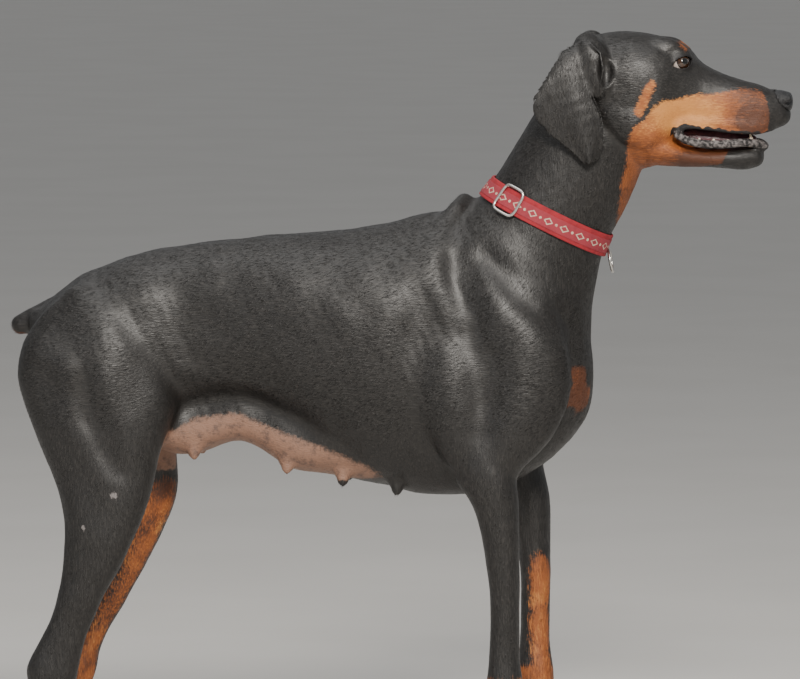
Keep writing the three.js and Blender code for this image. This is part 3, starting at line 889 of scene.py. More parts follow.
@dataclass(frozen=True)
class Coat:
    """The short coat: black, with rust marks, and the bare skin of belly, lips and mouth."""

    black: tuple[float, ...] = (0.0088, 0.0078, 0.0071, 1)
    sunlit: tuple[float, ...] = (0.0310, 0.0280, 0.0255, 1)
    rust_dark: tuple[float, ...] = (0.085, 0.026, 0.009, 1)
    rust_deep: tuple[float, ...] = (0.30, 0.085, 0.018, 1)
    rust_bright: tuple[float, ...] = (0.56, 0.235, 0.055, 1)
    belly: tuple[float, ...] = (0.250, 0.136, 0.090, 1)
    belly_dark: tuple[float, ...] = (0.105, 0.062, 0.048, 1)
    lip: tuple[float, ...] = (0.0062, 0.0048, 0.0050, 1)
    # The inside of the mouth: a dark flesh colour, partly its own colour and partly painted shade in the
    # hollow.
    mouth: tuple[float, ...] = (0.040, 0.017, 0.020, 1)
    scar: tuple[float, ...] = (0.19, 0.17, 0.165, 1)

    def colour_group(self) -> bpy.types.NodeTree:
        """Build the markings of the coat, which skin and tufts share.

        Returns:
            The node group.
        """
        inputs = {"Rust": -1.0, "Tone": 0.5, "Bare": 0.0, "Lip": 0.0, "Wet": 0.0, "Scar": 0.0, "Fleck": 0.5}
        outputs = {"Color": "Color", "Hairless": "Float", "Shine": "Float"}
        nodes, given, result = new_group("coat_colour", inputs, outputs)
        take = given.outputs
        place = nodes.place()
        ragged = nodes.math("SUBTRACT", nodes.noise(place, 260.0, 3.0, 0.6), 0.5)
        cloudy = nodes.math("SUBTRACT", nodes.noise(place, 60.0, 2.0, 0.5), 0.5)
        flecked = nodes.math("SUBTRACT", take["Fleck"], 0.5)
        edge = nodes.scaled(cloudy, 0.3, nodes.scaled(ragged, 0.55, take["Rust"]))
        edge = nodes.scaled(flecked, 0.25, edge)
        rusty = nodes.ramp(edge, -0.16, 0.2)
        # On the black, the hair flecks are painted towards the sunlit colour: a painted sheen on the coat.
        dark = nodes.mix(nodes.math("MULTIPLY", take["Fleck"], 0.8), self.black, self.sunlit)
        tone = nodes.scaled(flecked, 0.3, nodes.scaled(cloudy, 0.35, take["Tone"]))
        warm = nodes.mix(nodes.ramp(tone, 0.0, 0.5), self.rust_dark, self.rust_deep)
        warm = nodes.mix(nodes.ramp(tone, 0.4, 1.0), warm, self.rust_bright)
        colour = nodes.mix(rusty, dark, warm)
        freckle = nodes.ramp(nodes.noise(place, 120.0, 3.0, 0.7), 0.45, 0.75)
        skin = nodes.mix(freckle, self.belly, self.belly_dark)
        bare = nodes.ramp(nodes.scaled(ragged, 0.6, take["Bare"]), 0.3, 0.7)
        colour = nodes.mix(bare, colour, skin)
        lip = nodes.ramp(nodes.scaled(ragged, 0.3, take["Lip"]), 0.25, 0.6)
        colour = nodes.mix(lip, colour, self.lip)
        # Inside the mouth the colour is painted dark, partly as painted shade in the hollow.
        colour = nodes.mix(take["Wet"], colour, self.mouth)
        scar = nodes.ramp(nodes.scaled(ragged, 1.2, take["Scar"]), 0.45, 0.8)
        colour = nodes.mix(scar, colour, self.scar)
        nodes.feed(result.inputs["Color"], colour)
        hairless = nodes.math("MAXIMUM", bare, nodes.math("MAXIMUM", take["Lip"], take["Wet"]))
        nodes.feed(result.inputs["Hairless"], hairless)
        shine = nodes.math("MULTIPLY", nodes.rest(rusty), nodes.rest(hairless))
        nodes.feed(result.inputs["Shine"], shine)
        return nodes.tree

    @staticmethod
    def dress(name: str, grain: bpy.types.NodeTree, colours: bpy.types.NodeTree, depth: float) -> Material:
        """Make the material of the skin, or of the tufts over it.

        Args:
            name: The material's name.
            grain: The lie of the hair.
            colours: The markings.
            depth: How high the bumps of the grain stand, in metres.

        Returns:
            The material.
        """
        nodes, material = open_material(name)
        hair = nodes.group(grain, Limb=nodes.mark("limb"), Slant=nodes.mark("slant"))
        marks = {key: nodes.mark(key.lower()) for key in ("Rust", "Tone", "Bare", "Lip", "Wet", "Scar")}
        coat = nodes.group(colours, Fleck=hair.outputs["Fleck"], **marks)
        place = nodes.place()
        creases = nodes.noise(nodes.stretch(place, (240, 240, 700)), 1.0, 3.0, 0.6)
        hairless = coat.outputs["Hairless"]
        hair_height = nodes.math("MULTIPLY", hair.outputs["Height"], nodes.rest(hairless))
        crease_height = nodes.math("MULTIPLY", creases, nodes.math("MULTIPLY", hairless, 2.4))
        height = nodes.math("ADD", hair_height, crease_height)
        rough = nodes.scaled(nodes.noise(place, 35.0, 3.0, 0.6), 0.16, 0.50)
        for feed, weight in ((coat.outputs["Shine"], -0.15), (marks["Wet"], -0.22), (marks["Lip"], 0.10)):
            rough = nodes.scaled(feed, weight, rough)
        shader = nodes.surface(coat.outputs["Color"], rough, Normal=nodes.bump(height, 0.7, depth))
        nodes.add("ShaderNodeOutputMaterial", None, Surface=shader.outputs[0])
        return material


def plain_material(name: str, build: Callable[[Nodes], Node]) -> Material:
    """Make a material from a function that builds its shader."""
    nodes, material = open_material(name)
    nodes.add("ShaderNodeOutputMaterial", None, Surface=build(nodes).outputs[0])
    return material


@dataclass(frozen=True)
class Finish:
    """A named finish; each kind builds its own shader."""

    name: str

    def dress(self) -> Material:
        """Make the material."""
        return plain_material(self.name, self.shader)

    def shader(self, nodes: Nodes) -> Node:
        """Build the shader."""
        raise NotImplementedError


@dataclass(frozen=True)
class Horn(Finish):
    """Dark claws, ridged along their length."""

    name: str = "claw_horn"
    colour: tuple[float, ...] = (0.018, 0.015, 0.013, 1)
    worn: tuple[float, ...] = (0.075, 0.06, 0.05, 1)

    def shader(self, nodes: Nodes) -> Node:
        """Build the shader."""
        streaks = nodes.noise(nodes.stretch(nodes.place(), (120, 900, 500)), 1.0, 3.0, 0.6)
        colour = nodes.mix(nodes.ramp(streaks, 0.5, 0.8), self.colour, self.worn)
        relief = nodes.bump(streaks, 0.4, 0.0003)
        return nodes.surface(colour, nodes.scaled(streaks, 0.2, 0.28), Normal=relief)


@dataclass(frozen=True)
class NoseLeather(Finish):
    """Moist black skin in small raised pebbles."""

    name: str = "nose_leather"
    colour: tuple[float, ...] = (0.005, 0.005, 0.006, 1)
    crown: tuple[float, ...] = (0.014, 0.013, 0.014, 1)

    def shader(self, nodes: Nodes) -> Node:
        """Build the shader."""
        pebble = nodes.ramp(nodes.cells(nodes.place(), 950.0, "DISTANCE_TO_EDGE"), 0.0, 0.35)
        colour = nodes.mix(pebble, self.colour, self.crown)
        relief = nodes.bump(pebble, 0.55, 0.0004)
        return nodes.surface(colour, nodes.scaled(pebble, -0.12, 0.42), Normal=relief)


@dataclass(frozen=True)
class EyeFinish(Finish):
    """A wet eyeball: brown iris round a dark pupil, and a pale white."""

    name: str = "eye_ball"
    iris: tuple[float, ...] = (0.022, 0.009, 0.004, 1)
    iris_light: tuple[float, ...] = (0.055, 0.023, 0.008, 1)
    iris_rim: tuple[float, ...] = (0.012, 0.006, 0.004, 1)
    white: tuple[float, ...] = (0.60, 0.52, 0.47, 1)
    vein: tuple[float, ...] = (0.42, 0.16, 0.12, 1)
    pupil: tuple[float, ...] = (0.002, 0.002, 0.002, 1)
    corner: tuple[float, ...] = (0.10, 0.05, 0.045, 1)

    def shader(self, nodes: Nodes) -> Node:
        """Build the shader.

        Args:
            nodes: The tree to build in.

        Returns:
            The node that the finish ends in.
        """
        gaze = nodes.mark("gaze")
        rays = nodes.noise(nodes.stretch(nodes.place(), (300, 300, 300)), 1.0, 3.0, 0.7)
        iris = nodes.mix(nodes.ramp(rays, 0.3, 0.75), self.iris, self.iris_light)
        iris = nodes.mix(nodes.ramp(gaze, 0.60, 0.80), iris, self.iris_rim)
        iris = nodes.mix(nodes.ramp(gaze, 0.34, 0.30), iris, self.pupil)
        veins = nodes.ramp(nodes.noise(nodes.place(), 420.0, 4.0, 0.8), 0.55, 0.75)
        white = nodes.mix(nodes.math("MULTIPLY", veins, 0.5), self.white, self.vein)
        white = nodes.mix(nodes.ramp(gaze, 1.2, 1.5), white, self.corner)
        colour = nodes.mix(nodes.ramp(gaze, 0.82, 0.87), iris, white)
        return nodes.surface(colour, 0.08, Coat_Weight=0.8, Coat_Roughness=0.03)


@dataclass(frozen=True)
class MouthFlesh(Finish):
    """The moist tongue."""

    name: str = "tongue_flesh"
    colour: tuple[float, ...] = (0.15, 0.060, 0.068, 1)
    shade: tuple[float, ...] = (0.070, 0.030, 0.038, 1)

    def shader(self, nodes: Nodes) -> Node:
        """Build the shader.

        Args:
            nodes: The tree to build in.

        Returns:
            The node that the finish ends in.
        """
        buds = nodes.cells(nodes.place(), 1100.0)
        patches = nodes.noise(nodes.place(), 150.0, 3.0, 0.6)
        colour = nodes.mix(nodes.ramp(patches, 0.35, 0.7), self.colour, self.shade)
        depth = {"Subsurface_Weight": 0.1, "Subsurface_Scale": 0.003}
        rough = nodes.scaled(patches, 0.15, 0.22)
        return nodes.surface(colour, rough, Normal=nodes.bump(buds, 0.35, 0.0004), **depth)


@dataclass(frozen=True)
class Enamel(Finish):
    """Creamy teeth, browner at the gum."""

    name: str = "tooth_enamel"
    crown: tuple[float, ...] = (0.66, 0.58, 0.44, 1)
    root: tuple[float, ...] = (0.36, 0.24, 0.13, 1)

    def shader(self, nodes: Nodes) -> Node:
        """Build the shader.

        Args:
            nodes: The tree to build in.

        Returns:
            The node that the finish ends in.
        """
        stain = nodes.noise(nodes.place(), 300.0, 3.0, 0.6)
        near_gum = nodes.scaled(stain, 0.5, nodes.mark("root"))
        colour = nodes.mix(nodes.ramp(near_gum, 0.5, 1.1), self.crown, self.root)
        return nodes.surface(colour, nodes.scaled(stain, 0.15, 0.15), Normal=nodes.bump(stain, 0.2, 0.0003))


# The whole body's forms


TRUNK = (
    (-410, 545, 506, 526, 26), (-396, 552, 468, 518, 52), (-366, 577, 436, 518, 70),
    (-335, 592, 416, 522, 80), (-283, 610, 420, 530, 82, 2.4), (-228, 619, 438, 534, 78, 2.5),
    (-172, 626, 446, 530, 81, 2.6), (-117, 631, 424, 522, 90, 2.5), (-61, 635, 380, 512, 96, 2.3),
    (-6, 645, 347, 505, 98), (42, 657, 338, 498, 93), (88, 650, 341, 492, 84), (130, 622, 354, 486, 75),
    (168, 578, 379, 480, 62), (190, 556, 399, 476, 51), (203, 534, 417, 474, 38),
)  # fmt: skip
MILK_LINE = (
    (-290, 444, 402, 416, 36), (-262, 450, 384, 405, 45), (-236, 456, 381, 402, 48),
    (-208, 462, 388, 409, 48), (-180, 466, 398, 419, 47), (-150, 464, 386, 408, 49),
    (-118, 452, 365, 396, 54), (-80, 440, 361, 396, 57), (-30, 430, 351, 392, 56), (20, 424, 344, 390, 50),
)  # fmt: skip
WITHERS = ((48, -36, 634), (64, -19, 659), (71, 0, 667), (64, 19, 659), (48, 36, 634))
TEATS = ((-226, 34, 390), (-122, 37, 375), (-60, 38, 362), (0, 36, 352))
NECK = (
    (96, 0, 520, 124, 80), (124, 0, 578, 102, 75), (143, 0, 611, 86, 69), (164.5, 0, 651, 73, 62),
    (190.5, 0, 696.5, 70.5, 59), (212, 0, 742, 66, 56), (226, 0, 785, 56, 50),
)  # fmt: skip
THIGH = (
    (562, -372, -316, 52, 22), (540, -396, -286, 54, 34), (510, -415, -264, 57, 41, 2.4),
    (478, -421, -250, 58, 42, 2.4), (446, -414, -242, 60, 41, 2.4), (418, -404, -249, 63, 39, 2.4),
    (392, -394, -258, 66, 36), (366, -383, -264, 70, 32), (340, -374, -270, 73, 30),
    (318, -369, -278, 75, 28), (296, -367, -287, 77, 26), (264, -369, -302, 78, 23),
    (233, -374, -320, 78, 20), (203, -384, -334, 77, 17), (176, -398, -344, 76, 17),
    (152, -410, -350, 75, 19), (136, -410, -353, 74.5, 19.5), (118, -406, -358, 74, 18),
    (98, -403, -365, 73.5, 16), (72, -401, -367, 73, 16), (50, -402, -364, 73, 19),
)  # fmt: skip
FOREARM = (
    (392, 70, 130, 76, 25), (372, 70, 135, 77, 27), (350, 77, 138, 77, 27), (325, 89, 140, 76, 25),
    (288, 99, 140, 75, 23), (245, 104, 140, 73, 20.5), (205, 105, 140, 72, 18.5), (165, 104, 140, 71.5, 18),
    (138, 101, 143, 71, 21), (118, 100, 144, 71, 21), (100, 103, 143, 70.5, 19), (76, 106, 144, 70, 18.5),
    (54, 107, 148, 70, 21),
)  # fmt: skip
BLADE_AND_ARM = (
    (64, 34, 618, 34, 20), (88, 52, 578, 54, 28), (116, 62, 530, 64, 33), (136, 67, 482, 62, 33),
    (134, 71, 440, 54, 30), (112, 74, 400, 42, 28), (96, 76, 362, 32, 25),
)  # fmt: skip
BACK_ARM = ((68, 58, 560, 24, 20), (62, 70, 502, 40, 27), (64, 75, 442, 40, 27), (84, 77, 386, 26, 20))
ELBOW = ((86, 80, 380, 12, 11), (78, 81, 364, 8, 8))
TAIL = ((-383, 0, 541, 19, 18), (-407, 0, 532, 15.5, 15), (-427, 0, 525, 12.5, 12))
HIND_STEP = {RIGHT: 0, LEFT: 17}
HOCK_BACK = {RIGHT: 0, LEFT: 13}
FORE_STEP = {RIGHT: 0, LEFT: 24}
STIFLE_FADE = (330, 400)
HOCK_FADE = (150, 215)
ELBOW_FADE = (330, 520)
COLLAR_MIDDLE = np.array([164.5, 0, 651]) * MM
COLLAR_LEAN = math.radians(26.4)
COLLAR_AXIS = np.array([math.sin(COLLAR_LEAN), 0, math.cos(COLLAR_LEAN)])
COLLAR_ACROSS = np.array([math.cos(COLLAR_LEAN), 0, -math.sin(COLLAR_LEAN)])
COAT_DEPTH = 0.0010
COLLAR_COVER = 0.011


@dataclass(frozen=True)
class Stroke:
    """A raised or sunk line on the flank: a path in the side view, and its half width and height, in mm."""

    path: Rows
    wide: float
    high: float

    def height(self, places: Array) -> Array:
        """Work out the height that it adds at places in the side view, in metres."""
        gap = line_distance(places, np.array(self.path, float) * MM) / (self.wide * MM)
        return self.high * MM * np.exp(-gap * gap)


# Muscles, ridges of loose skin and the grooves between them
FLANK_STROKES = (
    Stroke(((92, 648), (126, 613), (150, 587), (170, 566)), 18, 2.2),
    Stroke(((80, 616), (101, 567), (121, 547), (151, 527), (177, 507)), 19, 2.5),
    Stroke(((48, 627), (46, 590), (62, 545)), 20, 2.0),
    Stroke(((187, 559), (207, 527)), 16, 1.9),
    Stroke(((64, 606), (66, 580), (78, 555)), 12, -2.6),
    Stroke(((86, 593), (92, 565), (92, 530)), 12, -2.2),
    Stroke(((101, 610), (134, 572), (165, 545), (184, 532)), 12, -2.5),
    Stroke(((46, 528), (62, 520), (76, 515)), 27, -2.6),
    Stroke(((30, 560), (20, 500), (24, 440), (34, 398)), 20, -2.8),
    Stroke(((150, 505), (152, 470), (140, 430)), 27, 2.2),
    Stroke(((108, 500), (110, 455), (104, 415)), 15, -2.6),
    Stroke(((-384, 540), (-372, 532), (-360, 520)), 30, -3.1),
    Stroke(((-398, 503), (-367, 492), (-352, 480)), 14, 2.0),
    Stroke(((-296, 590), (-320, 545), (-328, 500), (-318, 465)), 27, 2.6),
    Stroke(((-262, 575), (-247, 560), (-230, 540)), 38, -3.1),
    Stroke(((-269, 519), (-240, 482)), 19, 2.1),
    Stroke(((-322, 474), (-302, 430), (-291, 392)), 15, 2.1),
    Stroke(((-341, 474), (-338, 430), (-318, 392), (-304, 372)), 14, -2.6),
    Stroke(((-360, 487), (-357, 424), (-338, 386), (-316, 362)), 14, 2.0),
    Stroke(((-236, 480), (-206, 474), (-175, 471), (-150, 463)), 11, 2.1),
    Stroke(((-380, 330), (-362, 300), (-360, 250)), 12, -1.4),
)


def hind_stations(side: int) -> Array:
    """Lay out a hind leg, with its stifle a step ahead and its hock most of that step back again."""
    ahead = stepped(levels(THIGH, side), HIND_STEP[side], *STIFLE_FADE)
    return stepped(ahead, -HOCK_BACK[side], *HOCK_FADE)


def fore_stations(side: int) -> Array:
    """Lay out a forearm, with the whole leg a step ahead below the elbow."""
    return stepped(levels(FOREARM, side), FORE_STEP[side], *ELBOW_FADE)


def body_forms() -> dict[str, list[Loft]]:
    """Lay out the forms of the body by name.

    Returns:
        The forms of each part.
    """
    legs = {}
    for side in SIDES:
        legs[f"hind_{SIDE_NAME[side]}"] = [Loft(hind_stations(side), FORWARD, 0.7)]
        fore = [Loft(fore_stations(side), FORWARD, 0.8)]
        for rows in (BLADE_AND_ARM, BACK_ARM, ELBOW):
            fore.append(Loft(stepped(bands(rows, side), FORE_STEP[side], *ELBOW_FADE), None, 0.9))
        legs[f"fore_{SIDE_NAME[side]}"] = fore
    return {
        "trunk": [Loft(slices(TRUNK), UP, 0.35), Loft(slices(MILK_LINE), UP)],
        "neck": [Loft(bands(NECK))],
        "tail": [Loft(bands(TAIL), None, 0.8)],
        **legs,
    }


# Markings


HEAD_RUST = (
    (422, 775), (411, 787), (398, 791), (382, 794), (363, 791), (349, 788), (330, 788), (312, 784),
    (293, 780), (283, 773), (273, 760), (261, 751), (255, 735), (253, 711), (247, 688), (245, 668),
    (240, 640), (330, 640), (345, 700), (400, 722), (405, 726), (418, 742), (424, 758),
)  # fmt: skip
CHEEK_SPOT = ((268, 768), (281, 797), 6.2)
WHISKER_BED = (394, 761, 18.7, 13.6)
CHEEK_MOLE = (276, 40, 745)
BELLY_EDGE = (
    (-300, 418), (-247, 412), (-225, 426), (-177, 432), (-139, 416), (-89, 398), (-40, 378), (20, 356),
)  # fmt: skip


BROW_SPOT = (0.3165, 0.8415)
BROW_SPOT_SIZE = 0.0080
BROW_SPOT_HALF = 0.010
CHEST_PATCH = (0.203, 0.034, 0.455)
CHEST_PATCH_SIZES = (0.03, 0.024, 0.040)
THROAT_PATCH = (0.245, 0, 0.668)
THROAT_PATCH_SIZE = 0.012
VENT_PATCH = (-0.425, 0, 0.505)
VENT_PATCH_SIZE = 0.016
SCUFFS = ((-0.308, 0.345, 0.0075, 0.006), (-0.342, 0.309, 0.004, 0.005))
MOLE_SIZE = 0.0045
CENTIMETRE = 0.01


class Markings:
    """Where the coat is rust and where the skin is bare."""

    @staticmethod
    def head(points: Array) -> tuple[Array, Array]:
        """Mark the head.

        Args:
            points: Places on the head, in metres.

        Returns:
            How deep each lies in a rust mark, in centimetres, and the tone of the rust there, with painted
            shade under the jaw.
        """
        side = points[:, [0, 2]]
        x, y, z = points.T
        rust = outline_depth(side, np.array(HEAD_RUST) * MM)
        low, high, wide = CHEEK_SPOT
        spot = wide * MM - line_distance(side, np.array([low, high]) * MM)
        brow = BROW_SPOT_SIZE - np.linalg.norm(side - np.array(BROW_SPOT), axis=1)
        brow = np.minimum(brow, BROW_SPOT_HALF - np.abs(np.abs(y) - 0.021))
        rust = np.maximum(rust, np.maximum(spot, brow))
        mole = np.linalg.norm(np.abs(points) - np.array(CHEEK_MOLE) * MM, axis=1)
        rust = np.minimum(rust, mole - MOLE_SIZE)
        chin = smooth_step(0.352, 0.372, x) * smooth_step(0.738, 0.728, z)
        rust = rust - 0.02 * chin
        under = smooth_step(0.712, 0.704, z) * smooth_step(0.285, 0.31, x)
        rust = rust - 0.012 * under - 0.016 * smooth_step(0.400, 0.414, x)
        tone = 0.62 + 0.38 * smooth_step(0.03, 0.012, np.hypot((x - 0.318) * 0.55, z - 0.765))
        tone -= 0.42 * smooth_step(0.350, 0.385, x) + 0.3 * smooth_step(0.812, 0.832, z)
        # The rust is painted darker low on the cheek behind the mouth, and much darker over the lower jaw,
        # where it is painted shade under the jaw.
        tone -= 0.25 * smooth_step(0.752, 0.730, z) * smooth_step(0.31, 0.28, x)
        tone -= 0.60 * smooth_step(0.732, 0.718, z) * smooth_step(0.285, 0.32, x)
        cx, cz, rx, rz = WHISKER_BED
        ring = np.hypot((x - cx * MM) / (rx * MM), (z - cz * MM) / (rz * MM))
        tone -= 0.45 * np.exp(-(((ring - 0.95) / 0.13) ** 2)) + 0.22 * smooth_step(0.9, 0.2, ring)
        return np.clip(rust / CENTIMETRE, -1.0, 1.0), np.clip(tone, 0.0, 1.0)

    @staticmethod
    def body(points: Array, normals: Array) -> tuple[Array, Array]:
        """Mark the trunk and the legs.

        Args:
            points: Places on the body, in metres.
            normals: The way that the skin faces there.

        Returns:
            How deep each lies in a rust mark, in centimetres, and the tone of the rust there.
        """
        x, y, z = points.T
        inward = -np.sign(y) * normals[:, 1]
        fore = x > BETWEEN_LEGS
        wave = 0.05 * wobble(points, 0.05, 31)
        folded = np.stack([x, np.abs(y), z], axis=1)
        chest = (folded - CHEST_PATCH) / CHEST_PATCH_SIZES
        chest = (1.0 - np.linalg.norm(chest, axis=1)) * 0.02
        throat = THROAT_PATCH_SIZE - np.linalg.norm(points - THROAT_PATCH, axis=1)
        fore_low = smooth_step(0.17, 0.11, z) * 2.2 - 0.9
        fore_inner = 0.75 * inward + 0.45 * normals[:, 0] - 0.55 - 2.5 * smooth_step(0.25, 0.33, z)
        fore_score = np.maximum(fore_low, fore_inner) + wave
        hind_low = smooth_step(0.15, 0.11, z) * 1.9 - 1.0 - 0.9 * smooth_step(0.2, 0.75, -normals[:, 0])
        hind_inner = 0.8 * inward + 0.62 * normals[:, 0] - 0.74 - 2.5 * smooth_step(0.33, 0.42, z)
        hind_score = np.maximum(hind_low, hind_inner) + wave
        legs = np.where(fore, fore_score, hind_score) * 0.012
        legs = np.where(z < 0.45, legs, -0.02)
        chest -= 0.004 * (1 + wobble(points, 0.03, 33))
        vent = VENT_PATCH_SIZE - np.linalg.norm((points - VENT_PATCH) / [1, 0.6, 1.2], axis=1)
        rust = np.maximum(np.maximum(chest, throat), np.maximum(legs, vent))
        tone = 0.42 + 0.1 * wobble(points, 0.04, 32) + 0.1 * inward - 0.12 * smooth_step(0.08, 0.02, z)
        tone -= 0.34 * smooth_step(0.38, 0.42, z) + 0.25 * smooth_step(0.31, 0.34, z) * ~fore
        return np.clip(rust / CENTIMETRE, -1.0, 1.0), np.clip(tone, 0.0, 1.0)

    @staticmethod
    def belly(points: Array) -> Array:
        """Mark the bare skin under the belly.

        Args:
            points: The points, in metres, one in each row.

        Returns:
            How bare each place is, from 0 to 1.
        """
        x, y, z = points.T
        edge = np.array(BELLY_EDGE) * MM
        under = np.interp(x, edge[:, 0], edge[:, 1]) - z
        ends = smooth_step(-0.300, -0.275, x) * smooth_step(0.02, -0.05, x)
        inner = smooth_step(0.075, 0.06, np.abs(y)) * smooth_step(0.352, 0.366, z)
        return np.clip(0.5 + under / 0.02, 0.0, 1.0) * ends * inner

    @staticmethod
    def scars(points: Array) -> Array:
        """Mark the two pale scuffs on the right thigh and hock.

        Args:
            points: The points, in metres, one in each row.

        Returns:
            How pale each place is, from 0 to 1.
        """
        x, y, z = points.T
        right = smooth_step(-0.05, -0.06, y)
        deep = [1 - np.hypot((x - ahead) / long, (z - up) / tall) for ahead, up, long, tall in SCUFFS]
        return np.clip(1.7 * np.maximum(*deep), 0, 1) * right


def lie_of(normals: Array, way: Array) -> Array:
    """Turn a wanted direction of the hair into the skin's own plane."""
    return unit(way - normals * np.sum(way * normals, axis=1, keepdims=True))


def neck_share(points: Array) -> Array:
    """Tell how far places on the body are on the neck, where the hair slants, from 0 to 1."""
    x, _, z = points.T
    return smooth_step(0.02, 0.10, x + (z - 0.62) * 0.4) * smooth_step(0.50, 0.60, z)


def ear_share(points: Array) -> Array:
    """Tell how far places on the head are on an ear, where the hair hangs, from 0 to 1."""
    x, y, z = points.T
    return smooth_step(0.845, 0.83, z) * smooth_step(0.0575, 0.0625, np.abs(y)) * smooth_step(0.236, 0.230, x)


@dataclass
class BodySkin:
    """The skin of trunk, tail and legs, down to above the feet and up to the collar."""

    cell: float = 0.0026
    rounding: float = 0.0075
    leg_rounding: float = 0.0030
    foot_seam: float = 0.075

    def grow(self) -> Skin:
        """Grow the skin from the body's forms.

        Returns:
            The skin.
        """
        solid = Field((-0.455, -0.118, 0.055), (0.262, 0.118, 0.715), self.cell, 0.026)
        for forms in body_forms().values():
            solid.loft(*forms)
        solid.soften(self.leg_rounding)
        trunk = smooth_step(0.26, 0.44, solid.axis(2)) * smooth_step(-0.40, -0.37, solid.axis(0))
        solid.soften(self.rounding, trunk)
        solid.join(Cord(np.array(WITHERS) * MM, (0.006, 0.008, 0.009, 0.008, 0.006)), 0.016)
        for x, out, z in TEATS:
            for side in SIDES:
                stem = [(x, side * (out + more), z + up) for more, up in ((0, 2), (3, -3), (5, -7))]
                solid.join(Cord(np.array(stem) * MM, (0.0105, 0.0078, 0.0052)), 0.008)
        points, faces = solid.surface(COAT_DEPTH)
        skin = Skin(relax(points, faces, 4), faces)
        self.sculpt(skin)
        self.mark(skin)
        return skin

    @staticmethod
    def sculpt(skin: Skin) -> None:
        """Raise the muscles and sink the grooves between them.

        Args:
            skin: The skin.
        """
        places = skin.points[:, [0, 2]]
        facing = smooth_step(0.25, 0.7, np.abs(skin.normals[:, 1]))
        height = sum(stroke.height(places) for stroke in FLANK_STROKES) * facing
        height += 0.00035 * wobble(skin.points, 0.06, 11) + 0.00006 * wobble(skin.points, 0.016, 12)
        x, y, _ = skin.points.T
        spine = np.exp(-((y / 0.012) ** 2)) * smooth_step(0.5, 0.9, skin.normals[:, 2])
        height -= 0.0012 * spine * smooth_step(-0.36, -0.3, x) * smooth_step(0.06, 0.0, x)
        skin.push(height)

    @staticmethod
    def mark(skin: Skin) -> None:
        """Write down what the coat looks like at each point.

        Args:
            skin: The skin.
        """
        rust, tone = Markings.body(skin.points, skin.normals)
        bare = Markings.belly(skin.points)
        limb = smooth_step(0.46, 0.38, skin.points[:, 2]) * (1 - bare)
        scar = Markings.scars(skin.points)
        skin.take_marks(rust=rust, tone=tone, bare=bare, scar=scar, limb=limb, slant=neck_share(skin.points))

    def build(self, material: Material) -> Skin:
        """Make the piece, cut at the feet and at the collar, and give back its skin for the coat.

        Args:
            material: What the piece is dressed in.

        Returns:
            The skin.
        """
        skin = self.grow()
        piece = make_piece("body_skin", skin.points, skin.faces, material, skin.marks)
        cut_level(piece, (0, 0, self.foot_seam), (0, 0, -1))
        cut_level(piece, COLLAR_MIDDLE, COLLAR_AXIS)
        thin_out(piece, MOST_BODY_TRIANGLES)
        legs = [f"{pair}_leg_{SIDE_NAME[side]}" for pair in ("hind", "fore") for side in SIDES]
        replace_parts(piece, "torso", "tail", "neck", *legs)
        return skin


# The feet


@dataclass(frozen=True)
class Foot:
    """A foot's fetlock place on the right side, and its own sizes, in millimetres."""

    pair: str
    fetlock: tuple[float, float, float]
    toe_gap: float
    reach: float
    step: float
    leg: Callable[[int], Array]


FEET = (
    Foot("fore", (126, 70, 50), 15.5, 46, FORE_STEP[LEFT], fore_stations),
    Foot("hind", (-384, 73, 46), 14, 42, HIND_STEP[LEFT] - HOCK_BACK[LEFT], hind_stations),
)
TOES = 4
MIDDLE_LEAD = 9
PALM = ((None, -17, 17, 18), (30, -15, 22, 21), (12, -13, 24, 22.5), (0, -10, 20, 18))
TOE_ARCH = ((46, 29), (30, 27), (16, 23.5), (5, 13.5), (-1, 10))
TOE_RADII = (13, 11.2, 9.8, 8.6, 7.8)
TOE_PAD = ((12, 8), (4, 7.5))
PAD_RADII = (8.6, 7.6)
KNUCKLE = ((23, 31),)
KNUCKLE_SIZES = (8, 7.6, 7)
PENCIL_MARK = ((36, 38), (22, 34), (8, 27))
CLAW = ((6, 15), (-2, 15), (-9, 12), (-14.5, 6.2))
CLAW_RADII = (3.9, 3.7, 2.7, 0.9)


